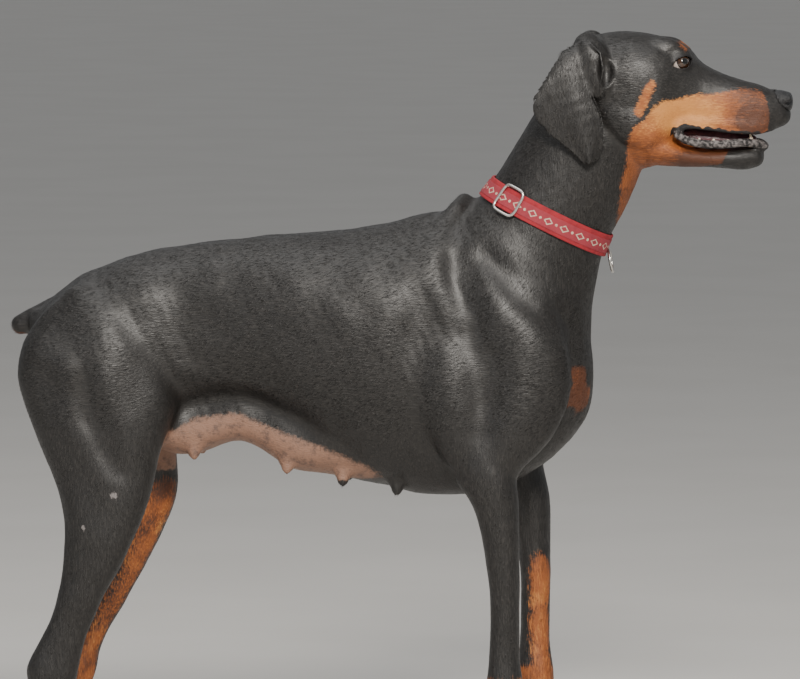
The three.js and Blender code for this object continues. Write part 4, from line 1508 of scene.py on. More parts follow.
@dataclass
class Paw:
    """One foot: palm, four arched toes and their claws."""

    foot: Foot
    side: int
    cell: float = 0.0013
    top: float = 0.075

    def middle(self) -> Array:
        """Give the place of the fetlock."""
        x, y, z = self.foot.fetlock
        return np.array([x + (self.foot.step if self.side == LEFT else 0), self.side * y, z], float)

    def toes(self) -> list[tuple[float, float, float]]:
        """Give each toe's place across the foot, reach and splay, in millimetres.

        Returns:
            One row for each toe.
        """
        places = []
        for index in range(TOES):
            out = index - (TOES - 1) / 2
            lead = MIDDLE_LEAD if abs(out) < 1 else 0
            places.append((out * self.foot.toe_gap, self.foot.reach - MIDDLE_LEAD + lead, out * 0.07))
        return places

    def toe_path(self, out: float, tip: float, splay: float, rows: Rows) -> Array:
        """Place rows of (back from the tip, height) along a toe."""
        at = self.middle()
        return np.array([(at[0] + tip - b, at[1] + out + splay * (tip - b), z) for b, z in rows]) * MM

    def grow(self) -> Skin:
        """Grow the skin of the foot.

        Returns:
            The skin.
        """
        at = self.middle()
        solid = Field((at - [40, 48, 58]) * MM, (at + [78, 48, 50]) * MM, self.cell, 0.009)
        rows = []
        for z, back, front, wide in PALM:
            rows.append((at[2] if z is None else z, at[0] + back, at[0] + front, abs(at[1]), wide))
        solid.loft(Loft(levels(rows, self.side), FORWARD, 0.1))
        solid.loft(Loft(self.foot.leg(self.side), FORWARD, 0.3))
        solid.soften(0.0028)
        for out, tip, splay in self.toes():
            solid.join(Cord(self.toe_path(out, tip, splay, TOE_ARCH), np.array(TOE_RADII) * MM), 0.0035)
            solid.join(Cord(self.toe_path(out, tip, splay, TOE_PAD), np.array(PAD_RADII) * MM), 0.002)
            knuckle = self.toe_path(out, tip, splay, KNUCKLE)[0]
            solid.join(Ball(knuckle, np.array(KNUCKLE_SIZES) * MM), 0.003)
        floor = solid.axis(2)
        solid.values = np.maximum(solid.values, (0.0004 - floor).astype(np.float32))
        points, faces = solid.surface(COAT_DEPTH - 0.0001)
        skin = Skin(relax(points, faces, 4), faces)
        rust, tone = Markings.body(skin.points, skin.normals)
        pencil = np.ones(len(rust))
        for out, tip, splay in self.toes():
            stripe = self.toe_path(out, tip, splay, PENCIL_MARK)
            pencil = np.minimum(pencil, line_distance(skin.points, stripe) / 0.004 - 0.6)
        rust = np.minimum(rust, np.clip(pencil, -1, 1)) if self.foot.pair == "fore" else rust
        sole = smooth_step(0.006, 0.002, skin.points[:, 2])
        skin.take_marks(rust=rust, tone=tone, lip=sole, limb=np.ones(len(skin.points)))
        return skin

    def claws(self) -> tuple[Array, Array]:
        """Build the four curved claws as one mesh.

        Returns:
            The points and the faces.
        """
        points, faces, count = [], [], 0
        for out, tip, splay in self.toes():
            core = self.toe_path(out, tip, splay, CLAW)
            rows = [(*p, r * 0.72, r, r, 2.2) for p, r in zip(core, np.array(CLAW_RADII) * MM)]
            mesh = Loft(np.array(rows), None, 0.6).mesh(fine=4, sides=14)
            points.append(mesh[0])
            faces.append(mesh[1] + count)
            count += len(mesh[0])
        return np.vstack(points), np.vstack(faces)

    def build(self, coat: Material, horn: Material) -> Skin:
        """Make the foot and its claws, and give back the skin for the coat.

        Args:
            coat: The coat's material.
            horn: The claws' material.

        Returns:
            The skin.
        """
        name = f"{self.foot.pair}_paw_{SIDE_NAME[self.side]}"
        skin = self.grow()
        piece = make_piece(f"{name}_skin", skin.points, skin.faces, coat, skin.marks)
        cut_level(piece, (0, 0, self.top), (0, 0, 1))
        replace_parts(piece, name)
        points, faces = self.claws()
        make_piece(f"{name}_claws", points, faces, horn)
        return skin


# The head


SKULL = (
    (184, 832, 752, 792, 30), (199, 845, 724, 793, 48), (222, 852.5, 707, 797, 56),
    (250, 855.5, 703, 798, 59, 2.4), (276, 853, 704, 795, 58, 2.4), (293, 849, 713, 792, 54, 2.4),
    (308, 845, 736, 789, 46, 2.4), (322, 836, 747, 782, 40, 2.2), (334, 822, 748, 776, 36, 2.3),
    (352, 811.5, 745, 771, 33, 2.6), (374, 803.5, 741.5, 768, 31, 2.8), (396, 797.5, 741, 767, 28, 2.7),
    (412, 791.5, 746, 768, 24, 2.4), (422, 788, 752, 769, 19, 2.2),
)  # fmt: skip
JAW = (
    (276, 748, 707, 728, 44), (296, 744, 706, 726, 42), (317, 732, 705, 719, 36), (340, 727, 705, 716, 31),
    (362, 728, 703.5, 716, 27), (382, 730, 702, 716, 23), (398, 729, 706, 717, 18),
)  # fmt: skip
MOUTH = (
    (314, 749, 738, 744, 28), (324, 752, 730, 744, 25), (345, 752, 724, 741, 22), (372, 750, 724, 739, 18),
    (388, 749, 725, 738, 13),
)
UPPER_LIP = (
    (310, 40, 747), (322, 36, 750.5), (345, 31, 748.5), (372, 28, 745.5), (396, 23.5, 745), (410, 15, 748),
    (415, 0, 752),
)  # fmt: skip
LOWER_LIP = (
    (310, 40, 743), (320, 37, 736.5), (338, 33, 732.5), (362, 28.5, 732), (382, 22.5, 733.5),
    (398, 13, 732), (404, 0, 729),
)  # fmt: skip
NOSE_PAD = ((410, 789, 770, 779, 13, 2.3), (420, 791, 767, 779, 17, 2.3), (431, 788.5, 767, 778.5, 16.8, 2.3))
NOSE_BED = (
    ((0.418, 0, 0.7740), (0.0105, 0.0172, 0.0165)),
    ((0.421, 0, 0.7630), (0.0120, 0.0180, 0.0120)),
)
BROW = ((288, 27, 838, 12, 12), (303, 27, 836.5, 11, 11), (316, 22, 829, 9, 10))
JAW_MUSCLE = ((238, 42, 772, 24, 16), (260, 43, 756, 27, 17), (282, 40, 743, 21, 13))
EAR = (
    (842, 193, 213, 47), (836, 184, 214, 55), (822, 175, 211, 62), (802, 163, 214, 66), (782, 152, 221, 68),
    (764, 154, 228, 68.5), (746, 168, 231, 68), (730, 188, 230, 67), (718, 201, 226, 66.5),
    (711, 208, 219, 66),
)  # fmt: skip
EAR_HOOD = ((210, 38, 840, 15, 12), (214, 50, 832, 17, 12), (219, 56, 815, 18, 9), (222, 58, 797, 13, 6))
EAR_POCKET = (0.233, 0.0655, 0.815)
EAR_POCKET_SIZES = (0.0085, 0.012, 0.019)
EAR_RIM = ((216.5, 59, 842), (226, 65.5, 833), (229.5, 69, 815), (226, 70, 797))
EYE = np.array([311, 26.5, 821.5]) * MM
EYE_RADIUS = 0.0115
GAZE = np.array([0.58, 1.0, 0.06])


def lip_line(rows: Rows) -> Array:
    """Run a lip's edge from one corner of the mouth round to the other, in metres."""
    right = np.array([(x, -y, z) for x, y, z in rows])
    left = np.array([(x, y, z) for x, y, z in rows])[::-1][1:]
    return spline(np.vstack([right, left]) * MM, np.linspace(0, 1, 90))


def mirrored(points: Array, side: int) -> Array:
    """Put a place of the left side on the wanted side."""
    return np.asarray(points, float) * np.array([1, side, 1])


@dataclass(frozen=True)
class LidOpening:
    """The almond between the lids, cut along the gaze; half width and half height in metres."""

    side: int
    wide: float = 0.0132
    high: float = 0.0051
    tilt: float = math.radians(-14)

    def axes(self) -> tuple[Array, Array, Array]:
        """Give the ways along the almond, over it and out of the eye.

        Returns:
            The three ways.
        """
        aim = unit(mirrored(GAZE, self.side))
        ahead = unit(np.cross(aim, UP) * -self.side)
        over = unit(np.cross(aim, ahead) * self.side)
        along = ahead * math.cos(self.tilt) + over * math.sin(self.tilt)
        return along, unit(np.cross(aim, along) * self.side), aim

    def reach(self) -> tuple[Array, Array]:
        """Give the lowest and highest corners of its box."""
        middle = mirrored(EYE, self.side)
        return middle - 0.024, middle + 0.024

    def distance(self, points: Array) -> Array:
        """Measure how far points lie outside the opening.

        Args:
            points: The points, in metres, one in each row.

        Returns:
            One distance for each point.
        """
        along, over, aim = self.axes()
        offset = points - mirrored(EYE, self.side)
        u, v, w = offset @ along, offset @ over, offset @ aim
        radius = (self.wide**2 + self.high**2) / (2 * self.high)
        drop = radius - self.high
        almond = np.maximum(np.hypot(u, v + drop), np.hypot(u, v - drop)) - radius
        return np.maximum(almond, -w)


@dataclass
class HeadSkin:
    """The skin of the head, ears and upper neck, with lids, lips and the inside of the mouth."""

    cell: float = 0.0010
    rounding: float = 0.0030
    upper_lip: float = 0.0017
    lower_lip: float = 0.0050
    lid: float = 0.0021
    ear_thick: float = 0.0030

    def grow(self) -> Skin:
        """Grow the skin from the head's forms.

        Returns:
            The skin.
        """
        solid = Field((0.062, -0.080, 0.585), (0.436, 0.080, 0.866), self.cell, 0.012)
        solid.loft(Loft(slices(SKULL), UP, 0.35), Loft(slices(JAW), UP, 0.5), Loft(bands(NECK)))
        for side in SIDES:
            solid.loft(Loft(bands(BROW, side), None, 0.9), Loft(bands(JAW_MUSCLE, side), None, 0.9))
        solid.soften(self.rounding)
        self.lips_and_mouth(solid)
        for side in SIDES:
            self.eye_socket(solid, side)
            self.ear(solid, side)
        self.nose_bed(solid)
        points, faces = solid.surface(0.0005)
        skin = Skin(relax(points, faces, 2), faces)
        self.sculpt(skin)
        self.mark(skin)
        return skin

    def lips_and_mouth(self, solid: Field) -> None:
        """Roll the lips and hollow the mouth between them.

        Args:
            solid: The field of the head.
        """
        self.hollow = Field((0.28, -0.05, 0.69), (0.42, 0.05, 0.78), self.cell, 0.012)
        self.hollow.loft(Loft(slices(MOUTH), UP, 0.5))
        first = self.hollow.start - solid.start
        window = tuple(slice(a, a + n) for a, n in zip(first, self.hollow.values.shape))
        solid.values[window] = np.maximum(solid.values[window], -self.hollow.values)
        for rows, thick in ((UPPER_LIP, self.upper_lip), (LOWER_LIP, self.lower_lip)):
            line = lip_line(rows)
            solid.join(Cord(line, np.full(len(line), thick)), 0.006)
        flews = lip_line(UPPER_LIP) * [1, 0.90, 1] + [0, 0, 0.0068]
        solid.join(Cord(flews, np.full(len(flews), 0.0052)), 0.008)

    def eye_socket(self, solid: Field, side: int) -> None:
        """Set lids round an eye.

        Args:
            solid: The field of the head.
            side: LEFT or RIGHT.
        """
        middle = mirrored(EYE, side)
        solid.carve(Ball(mirrored(EYE + [0.013, 0.012, 0.0], side), (0.011, 0.010, 0.008)), 0.010)
        solid.join(Ball(middle, [EYE_RADIUS + self.lid] * 3), 0.006)
        solid.carve(Ball(middle, [EYE_RADIUS + 0.0002] * 3), 0.0004)
        solid.carve(LidOpening(side), 0.0012)

    def ear(self, solid: Field, side: int) -> None:
        """Hang an ear: a soft flap below a short hood, open to the front.

        Args:
            solid: The field of the head.
            side: LEFT or RIGHT.
        """
        for x, y, z, deep, wide in EAR_HOOD:
            middle = mirrored(np.array([x, y, z]) * MM, side)
            solid.join(Ball(middle, np.array([deep, wide, deep]) * MM), 0.010)
        solid.carve(Ball(mirrored(EAR_POCKET, side), EAR_POCKET_SIZES), 0.003)
        flap = solid.measure(*self.flap(side))
        blend = np.maximum(0.004 - np.abs(solid.values - flap), 0.0) / 0.004
        solid.values = (np.minimum(solid.values, flap) - blend * blend * 0.001).astype(np.float32)
        solid.join(Cord(mirrored(EAR_RIM, side) * MM, (0.0018, 0.0018, 0.0016, 0.0012)), 0.003)

    def flap(self, side: int) -> tuple[Array, Array]:
        """Build the flap of an ear as a thin closed shell.

        Args:
            side: LEFT or RIGHT.

        Returns:
            The points and the triangles.
        """
        rows, columns = 70, 40
        table = spline(np.array(EAR, float) * MM, np.linspace(0, 1, rows))
        across = np.linspace(0, 1, columns)
        rounded = np.sin(math.pi * across)
        x = table[:, 1:2] + (table[:, 2:3] - table[:, 1:2]) * across
        lie = table[:, 3:4] + 0.004 * rounded - 0.0035 * across
        down = np.linspace(0, 1, rows)[:, None]
        lie = lie + 0.0012 * np.sin(9 * across + 3.0 * down) * smooth_step(0.15, 0.5, down)
        thick = self.ear_thick * (0.45 + 0.55 * rounded**0.5)
        z = np.repeat(table[:, :1], columns, axis=1)
        faced = [side * (lie + way * thick / 2) for way in (1, -1)]
        shells = [np.stack([x, y, z], axis=-1).reshape(-1, 3) for y in faced]
        index = np.arange(rows * columns).reshape(rows, columns)
        quads = [index[:-1, :-1], index[:-1, 1:], index[1:, 1:], index[1:, :-1]]
        quads = np.stack(quads, axis=-1).reshape(-1, 4)
        total = rows * columns
        rim = np.concatenate([index[0], index[1:, -1], index[-1, -2::-1], index[-2:0:-1, 0]])
        around = np.stack([rim, np.roll(rim, -1), np.roll(rim, -1) + total, rim + total], axis=-1)
        faces = np.vstack([quads, quads[:, ::-1] + total, around[:, ::-1]])
        return np.vstack(shells), np.vstack([faces[:, [0, 1, 2]], faces[:, [0, 2, 3]]])

    @staticmethod
    def nose_bed(solid: Field) -> None:
        """Leave room for the nose leather, with a soft step round it.

        Args:
            solid: The field of the head.
        """
        for middle, sizes in NOSE_BED:
            solid.join(Ball(middle, sizes), 0.006)
        bed = solid.measure(*Loft(slices(NOSE_PAD), UP, 0.42).mesh(-0.0004))
        solid.values = np.maximum(solid.values, -bed)

    @staticmethod
    def sculpt(skin: Skin) -> None:
        """Raise and sink the small forms of the face."""
        skin.push(0.00008 * wobble(skin.points, 0.014, 21))

    def mark(self, skin: Skin) -> None:
        """Write down what the coat looks like at each point.

        Args:
            skin: The skin.
        """
        x, _, z = skin.points.T
        rust, tone = Markings.head(skin.points)
        upper = line_distance(skin.points, lip_line(UPPER_LIP)[::3])
        lower = line_distance(skin.points, lip_line(LOWER_LIP)[::3])
        corner = 0.0022 * smooth_step(0.332, 0.314, x)
        ragged = 0.0005 * wobble(skin.points, 0.01, 23)
        rims = np.minimum(upper - 0.0027, lower - 0.0066) - corner + ragged
        hollow = self.hollow.sample(skin.points)
        inside = smooth_step(0.0022, 0.0008, hollow) * (x > 0.285) * (z < 0.775) * (z > 0.70)
        lip = smooth_step(0.0008, -0.0008, rims)
        speckle = 0.60 * smooth_step(0.0078, 0.0052, lower) * smooth_step(-0.002, 0.001, z - 0.7265)
        speckle = speckle * (1 - inside)
        eyes = np.linalg.norm(np.abs(skin.points) - EYE, axis=1)
        lid = smooth_step(EYE_RADIUS + 0.0040, EYE_RADIUS + 0.0024, eyes)
        opening = np.minimum(LidOpening(LEFT).distance(skin.points), LidOpening(RIGHT).distance(skin.points))
        lid = lid * smooth_step(0.0045, 0.0025, opening)
        ear = ear_share(skin.points)
        slant = smooth_step(0.75, 0.71, z) * smooth_step(0.27, 0.25, x) * (1 - ear)
        lip = np.maximum(lip, lid) * (1 - inside)
        skin.take_marks(rust=rust, tone=tone, lip=lip, wet=inside, scar=speckle, limb=ear, slant=slant)

    def build(self, material: Material) -> Skin:
        """Make the piece, cut at the collar, and give back its skin for the coat.

        Args:
            material: What the piece is dressed in.

        Returns:
            The skin.
        """
        skin = self.grow()
        piece = make_piece("head_skin", skin.points, skin.faces, material, skin.marks)
        cut_level(piece, COLLAR_MIDDLE, -COLLAR_AXIS)
        thin_out(piece, MOST_HEAD_TRIANGLES)
        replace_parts(piece, "head", "lower_jaw", *(f"ear_{SIDE_NAME[side]}" for side in SIDES))
        return skin


@dataclass
class Eyes:
    """The two eyeballs, each with a raised clear front over its iris."""

    cornea: float = 0.0009
    rings: int = 40
    sides: int = 48

    def build(self, finish: EyeFinish) -> None:
        """Make both eyeballs.

        Args:
            finish: Its finish.
        """
        material = finish.dress()
        for side in SIDES:
            along, over, aim = LidOpening(side).axes()
            look = unit(aim - along * 0.10 + over * 0.10)
            angle = np.linspace(0, math.pi, self.rings + 1)
            around = np.linspace(0, 2 * math.pi, self.sides, endpoint=False)
            first = unit(np.cross(look, UP))
            second = np.cross(look, first)
            ring = np.cos(around)[:, None] * first + np.sin(around)[:, None] * second
            ways = np.cos(angle)[:, None, None] * look + np.sin(angle)[:, None, None] * ring
            radius = EYE_RADIUS - 0.0001 + self.cornea * smooth_step(0.62, 0.2, angle) - self.cornea * 0.4
            points = mirrored(EYE, side) + (ways * radius[:, None, None]).reshape(-1, 3)
            gaze = np.repeat(angle, self.sides)
            faces = tube_faces(self.rings + 1, self.sides)
            name = f"eyeball_{SIDE_NAME[side]}"
            piece = make_piece(name, points, faces, material, {"gaze": gaze})
            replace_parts(piece, f"eye_{SIDE_NAME[side]}")


NOSTRIL = ((445, 6.0, 779), (437, 8.3, 778.5), (431, 13.5, 777), (426, 20, 773.5))
NOSE_WING = ((430, 12.5, 782.0), (427, 15.5, 780.5))
NOSE_SPLIT = ((440, 0, 778), (437.5, 0, 768), (431, 0, 757))


@dataclass
class Nose:
    """The nose leather, with its nostrils and the split down the middle."""

    cell: float = 0.0006

    def build(self, finish: NoseLeather) -> None:
        """Make the nose.

        Args:
            finish: Its finish.
        """
        solid = Field((0.405, -0.024, 0.752), (0.442, 0.024, 0.796), self.cell, 0.006)
        solid.loft(Loft(slices(NOSE_PAD), UP, 0.42)).soften(0.0012)
        for side in SIDES:
            solid.carve(Cord(mirrored(NOSTRIL, side) * MM, (0.0042, 0.0036, 0.0016, 0.0012)), 0.002)
            solid.join(Cord(mirrored(NOSE_WING, side) * MM, (0.0030, 0.0022)), 0.003)
        solid.carve(Cord(np.array(NOSE_SPLIT) * MM, (0.0012, 0.0014, 0.0016)), 0.0015)
        points, faces = solid.surface(0.0001)
        skin = Skin(relax(points, faces, 3), faces)
        piece = make_piece("nose_leather", skin.points, skin.faces, finish.dress())
        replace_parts(piece, "nose")


TONGUE = (
    (314, 750, 728, 738, 17), (335, 749, 727, 737, 17), (358, 747, 727, 735, 15), (378, 744.5, 728, 734, 12),
    (392, 741, 729, 733, 8),
)  # fmt: skip
CHEEK_TEETH = 4
CUTTING_TEETH = 3
TONGUE_GROOVE = ((312, 0, 752), (340, 0, 751), (372, 0, 747.5))


@dataclass
class Mouth:
    """What shows in the open mouth: the teeth, and the tongue on the floor of the jaw."""

    lower_gum: float = 732
    upper_gum: float = 757

    def build(self, enamel: Enamel, tongue: MouthFlesh) -> None:
        """Make the tongue and the teeth.

        Args:
            enamel: The finish of the teeth.
            tongue: The finish of the tongue.
        """
        solid = Field((0.298, -0.026, 0.718), (0.404, 0.026, 0.756), 0.0009, 0.006)
        solid.loft(Loft(slices(TONGUE), UP, 0.6)).soften(0.0016)
        solid.carve(Cord(np.array(TONGUE_GROOVE) * MM, (0.001, 0.0012, 0.0008)), 0.003)
        points, faces = solid.surface(0.0001)
        skin = Skin(relax(points, faces, 2), faces)
        piece = make_piece("tongue_flesh", skin.points, skin.faces, tongue.dress())
        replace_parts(piece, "tongue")
        material = enamel.dress()
        lower = self.row(self.lower_gum, 1, (332, 20), (390, 15.5), 397)
        upper = self.row(self.upper_gum, -1, (332, 21), (386, 16.5), 401)
        for name, (points, faces, root) in (("lower_teeth", lower), ("upper_teeth", upper)):
            make_piece(name, points, faces, material, {"root": root})

    @staticmethod
    def row(
        gum: float, lift: int, back: Sequence[float], fang: Sequence[float], front: float
    ) -> tuple[Array, Array, Array]:
        """Build the teeth of one jaw as one mesh.

        Args:
            gum: The height of the gum.
            lift: 1 for teeth that point up, -1 for down.
            back: The x and half width of the arch at its back.
            fang: The x and half width at the fangs.
            front: How far ahead the cutting teeth stand.

        Returns:
            The points, the faces, and how near the gum each point is.
        """
        teeth = []
        for side in SIDES:
            for index in range(CHEEK_TEETH):
                share = index / (CHEEK_TEETH - 1)
                x = back[0] + (fang[0] - 11 - back[0]) * share
                y = back[1] + (fang[1] - back[1]) * share
                tall = 7 * (0.85 - 0.3 * share)
                teeth.append(((x, side * y), tall, 4.6 - 1.6 * share, 1.7, 1.0))
            teeth.append(((fang[0], side * fang[1]), 11.5, 3.3, 2.8, -1.5 * lift))
            for index in range(CUTTING_TEETH):
                y = 2.2 + 4.0 * index
                teeth.append(((front - 0.09 * y * y, side * y), 4.8, 1.5, 1.8, 0.4))
        points, faces, roots, count = [], [], [], 0
        for (x, y), tall, deep, wide, lean in teeth:
            rows = [
                (x - 1, y, gum - lift * 2.5, wide, deep, deep, 2.2),
                (x - 0.5, y, gum + lift * 0.15 * tall, wide, deep, deep, 2.2),
                (x + lean * 0.4, y, gum + lift * 0.6 * tall, wide * 0.7, deep * 0.62, deep * 0.62, 2.2),
                (x + lean, y * 1.01, gum + lift * tall, wide * 0.2, deep * 0.16, deep * 0.16, 2.0),
            ]
            stations = np.array(rows, float)
            stations[:, :6] *= MM
            mesh = Loft(stations, FORWARD, 0.5).mesh(fine=4, sides=12)
            points.append(mesh[0])
            faces.append((mesh[1] if lift > 0 else mesh[1][:, ::-1]) + count)
            roots.append(1 - np.clip((mesh[0][:, 2] / MM - gum) * lift / tall, 0, 1))
            count += len(mesh[0])
        return np.vstack(points), np.vstack(faces), np.concatenate(roots)


# The collar


@dataclass(frozen=True)
class Webbing(Finish):
    """Woven red webbing."""

    colour: tuple[float, ...]
    shade: tuple[float, ...]
    motif: tuple[float, ...] | None = None
    rib: float = 0.0016
    yarn: float = 0.0011
    pitch: float = 0.0205

    def shader(self, nodes: Nodes) -> Node:
        """Build the shader: a weave along the strap, and small pale motifs where there are any.

        Args:
            nodes: The tree to build in.

        Returns:
            The node that the finish ends in.
        """
        along, over = nodes.mark("along"), nodes.mark("over")
        rib = nodes.math("SINE", nodes.math("MULTIPLY", along, 2 * math.pi / self.rib))
        yarn = nodes.math("SINE", nodes.math("MULTIPLY", over, 2 * math.pi / self.yarn))
        weave = nodes.math("MULTIPLY", rib, yarn)
        dirt = nodes.noise(nodes.place(), 90.0, 4.0, 0.65)
        colour = nodes.mix(nodes.ramp(dirt, 0.4, 0.75, 0.0, 0.6), self.colour, self.shade)
        colour = nodes.mix(nodes.ramp(weave, -1.0, 0.2, 0.35, 0.0), colour, self.shade)
        if self.motif:
            colour = nodes.mix(self.motifs(nodes, along, over), colour, self.motif)
        return nodes.surface(colour, nodes.scaled(dirt, 0.2, 0.68), Normal=nodes.bump(weave, 0.5, 0.0004))

    def motifs(self, nodes: Nodes, along: Socket, over: Socket) -> Socket:
        """Draw a row of small lozenges with a dot between each two.

        Args:
            nodes: The tree to build in.
            along: The place along the strap.
            over: The place across the strap.

        Returns:
            Where the motifs are, from 0 to 1.
        """
        near = nodes.math("PINGPONG", along, self.pitch / 2)
        size = nodes.math("ADD", near, nodes.math("MULTIPLY", nodes.math("ABSOLUTE", over), 1.4))
        lozenge = nodes.ramp(nodes.math("ABSOLUTE", nodes.math("SUBTRACT", size, 0.0050)), 0.0013, 0.0008)
        far = nodes.math("SUBTRACT", self.pitch / 2, near)
        round_off = nodes.math("ADD", nodes.math("POWER", far, 2.0), nodes.math("POWER", over, 2.0))
        dot = nodes.ramp(round_off, 3.2e-6, 1.8e-6)
        worn = nodes.ramp(nodes.noise(nodes.place(), 500.0, 3.0, 0.7), 0.3, 0.5)
        return nodes.math("MULTIPLY", nodes.math("MAXIMUM", lozenge, dot), worn)


@dataclass(frozen=True)
class Steel(Finish):
    """Polished wire with fine scratches."""

    name: str = "polished_wire"
    colour: tuple[float, ...] = (0.62, 0.60, 0.57, 1)
    scratched: tuple[float, ...] = (0.36, 0.34, 0.31, 1)

    def shader(self, nodes: Nodes) -> Node:
        """Build the shader.

        Args:
            nodes: The tree to build in.

        Returns:
            The node that the finish ends in.
        """
        scratch = nodes.noise(nodes.stretch(nodes.place(), (300, 2500, 900)), 1.0, 3.0, 0.7)
        colour = nodes.mix(nodes.ramp(scratch, 0.5, 0.8), self.colour, self.scratched)
        relief = nodes.bump(scratch, 0.15, 0.0002)
        return nodes.surface(colour, nodes.scaled(scratch, 0.25, 0.14), Metallic=1.0, Normal=relief)


@dataclass
class Collar:
    """Flat webbing round the neck with a narrower ribbon sewn on, its slide, and the ring at the throat."""

    wide: float = 0.025
    thick: float = 0.0024
    ribbon_wide: float = 0.0155
    ribbon_offset: float = -0.0005
    ribbon_thick: float = 0.0007
    gap: float = 0.0004
    sewn_in: float = 0.0002
    wire: float = 0.0017
    turns: int = 360
    mean_radius: float = 0.069
    search: tuple[float, float] = (0.03, 0.11)
    halvings: int = 22
    slide_place: float = math.radians(128)
    slide_turn: float = math.radians(11)
    slide_half: float = 0.0155
    slide_corner: float = 0.45
    slide_clear: float = 0.0006
    ring_radius: float = 0.012
    ring_drop: float = -0.004
    ring_lean: float = 0.18

    def __post_init__(self) -> None:
        """Measure the neck where the collar goes."""
        self.neck = Field((0.04, -0.09, 0.57), (0.27, 0.09, 0.73), 0.003, 0.03).loft(Loft(bands(NECK)))

    def radius(self, around: Array, along: Array) -> Array:
        """Find how far the neck's surface is from the collar's axis.

        Args:
            around: Angles from the throat towards the right side.
            along: Places along the axis.

        Returns:
            The distances, in metres.
        """
        low, high = (np.full(around.shape, bound) for bound in self.search)
        for _ in range(self.halvings):
            middle = (low + high) / 2
            outside = self.neck.sample(self.place(around, middle, along)) > 0
            low, high = np.where(outside, low, middle), np.where(outside, middle, high)
        return low

    @staticmethod
    def place(around: Array, out: Array, along: Array) -> Array:
        """Give the point at an angle, distance and place along the axis."""
        across = np.cos(around)[:, None] * COLLAR_ACROSS - np.sin(around)[:, None] * SIDEWAYS
        return COLLAR_MIDDLE + across * out[:, None] + COLLAR_AXIS * along[:, None]

    def strap(
        self, half: float, low: float, high: float, shift: float
    ) -> tuple[Array, Array, dict[str, Array]]:
        """Sweep a flat section with rounded edges once round the neck.

        Args:
            half: Half its width.
            low: How far its inner face stands off the neck.
            high: How far its outer face stands off the neck.
            shift: Its offset along the axis.

        Returns:
            Its points, its faces and its marks.
        """
        corner = np.linspace(0, math.pi, 7)
        depth = (high - low) / 2
        edge = [(half - depth + depth * math.sin(a), depth * math.cos(a)) for a in corner]
        flat = np.linspace(half - depth, depth - half, 9)[1:-1]
        inner = [(s, -depth) for s in flat]
        outer = [(-s, depth) for s in flat]
        section = np.array(edge + inner + [(-s, -d) for s, d in edge] + outer)
        angles = np.linspace(0, 2 * math.pi, self.turns, endpoint=False)
        around = np.repeat(angles, len(section))
        over = np.tile(section[:, 0], len(angles))
        out = np.tile(section[:, 1], len(angles)) + (low + high) / 2
        along = over + shift
        points = self.place(around, self.radius(around, along) + out, along)
        faces = self.ring_faces(points, len(angles), len(section))
        return points, faces, {"along": around * self.mean_radius, "over": over}

    @staticmethod
    def ring_faces(points: Array, rings: int, sides: int) -> Array:
        """Join rings of corners that run round to the first again, and face them outward.

        Args:
            points: The points, in metres, one in each row.
            rings: How many rings there are.
            sides: How many corners a ring has.

        Returns:
            The faces.
        """
        ring, side = np.meshgrid(np.arange(rings), np.arange(sides), indexing="ij")
        here, after = ring * sides, ((ring + 1) % rings) * sides
        beside = (side + 1) % sides
        faces = np.stack([here + side, here + beside, after + beside, after + side], axis=-1).reshape(-1, 4)
        return faces if volume_of(points, faces) > 0 else faces[:, ::-1]

    def loop(self, middles: Array, radius: float) -> tuple[Array, Array]:
        """Sweep a round wire along a closed line of points.

        Args:
            middles: The middle of the wire, all the way round.
            radius: Half the wire's thickness.

        Returns:
            The points and the faces.
        """
        sides = 12
        ahead = unit(np.roll(middles, -1, axis=0) - np.roll(middles, 1, axis=0))
        centre = middles.mean(axis=0)
        first = unit(np.cross(ahead, np.cross(middles - centre, ahead)))
        second = np.cross(ahead, first)
        angle = np.linspace(0, 2 * math.pi, sides, endpoint=False)
        ring = np.cos(angle)[None, :, None] * first[:, None] + np.sin(angle)[None, :, None] * second[:, None]
        points = (middles[:, None] + radius * ring).reshape(-1, 3)
        return points, self.ring_faces(points, len(middles), sides)

    def build(self, webbing: Webbing, ribbon: Webbing, steel: Steel) -> None:
        """Make the strap, its ribbon, the slide and the ring.

        Args:
            webbing: The finish of the strap.
            ribbon: The finish of the ribbon.
            steel: The finish of the wires.
        """
        top = self.gap + self.thick
        points, faces, marks = self.strap(self.wide / 2, self.gap, top, 0.0)
        strap = make_piece("collar_strap", points, faces, webbing.dress(), marks)
        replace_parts(strap, "collar")
        outer = top + self.ribbon_thick
        points, faces, marks = self.strap(self.ribbon_wide / 2, top - self.sewn_in, outer, self.ribbon_offset)
        make_piece("collar_ribbon", points, faces, ribbon.dress(), marks)
        wire = steel.dress()
        points, faces = self.loop(self.slide_line(top), self.wire)
        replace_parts(make_piece("collar_slide_wire", points, faces, wire), "collar_slide")
        points, faces = self.loop(self.ring_line(top), self.wire)
        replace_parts(make_piece("collar_ring_wire", points, faces, wire), "collar_ring")

    def slide_line(self, top: float) -> Array:
        """Lay out the middle of the slide's wire: a frame with rounded corners that lies on the strap.

        Args:
            top: How far the outer face of the strap stands off the neck.

        Returns:
            The points, all the way round.
        """
        angle = np.linspace(0, 2 * math.pi, 72, endpoint=False)
        level, upright = (np.sign(v) * np.abs(v) ** self.slide_corner for v in (np.cos(angle), np.sin(angle)))
        around = self.slide_place + self.slide_turn * level
        along = self.slide_half * upright
        stand = self.radius(around, np.clip(along, -self.wide / 2, self.wide / 2)) + top
        return self.place(around, stand + self.wire + self.slide_clear, along)

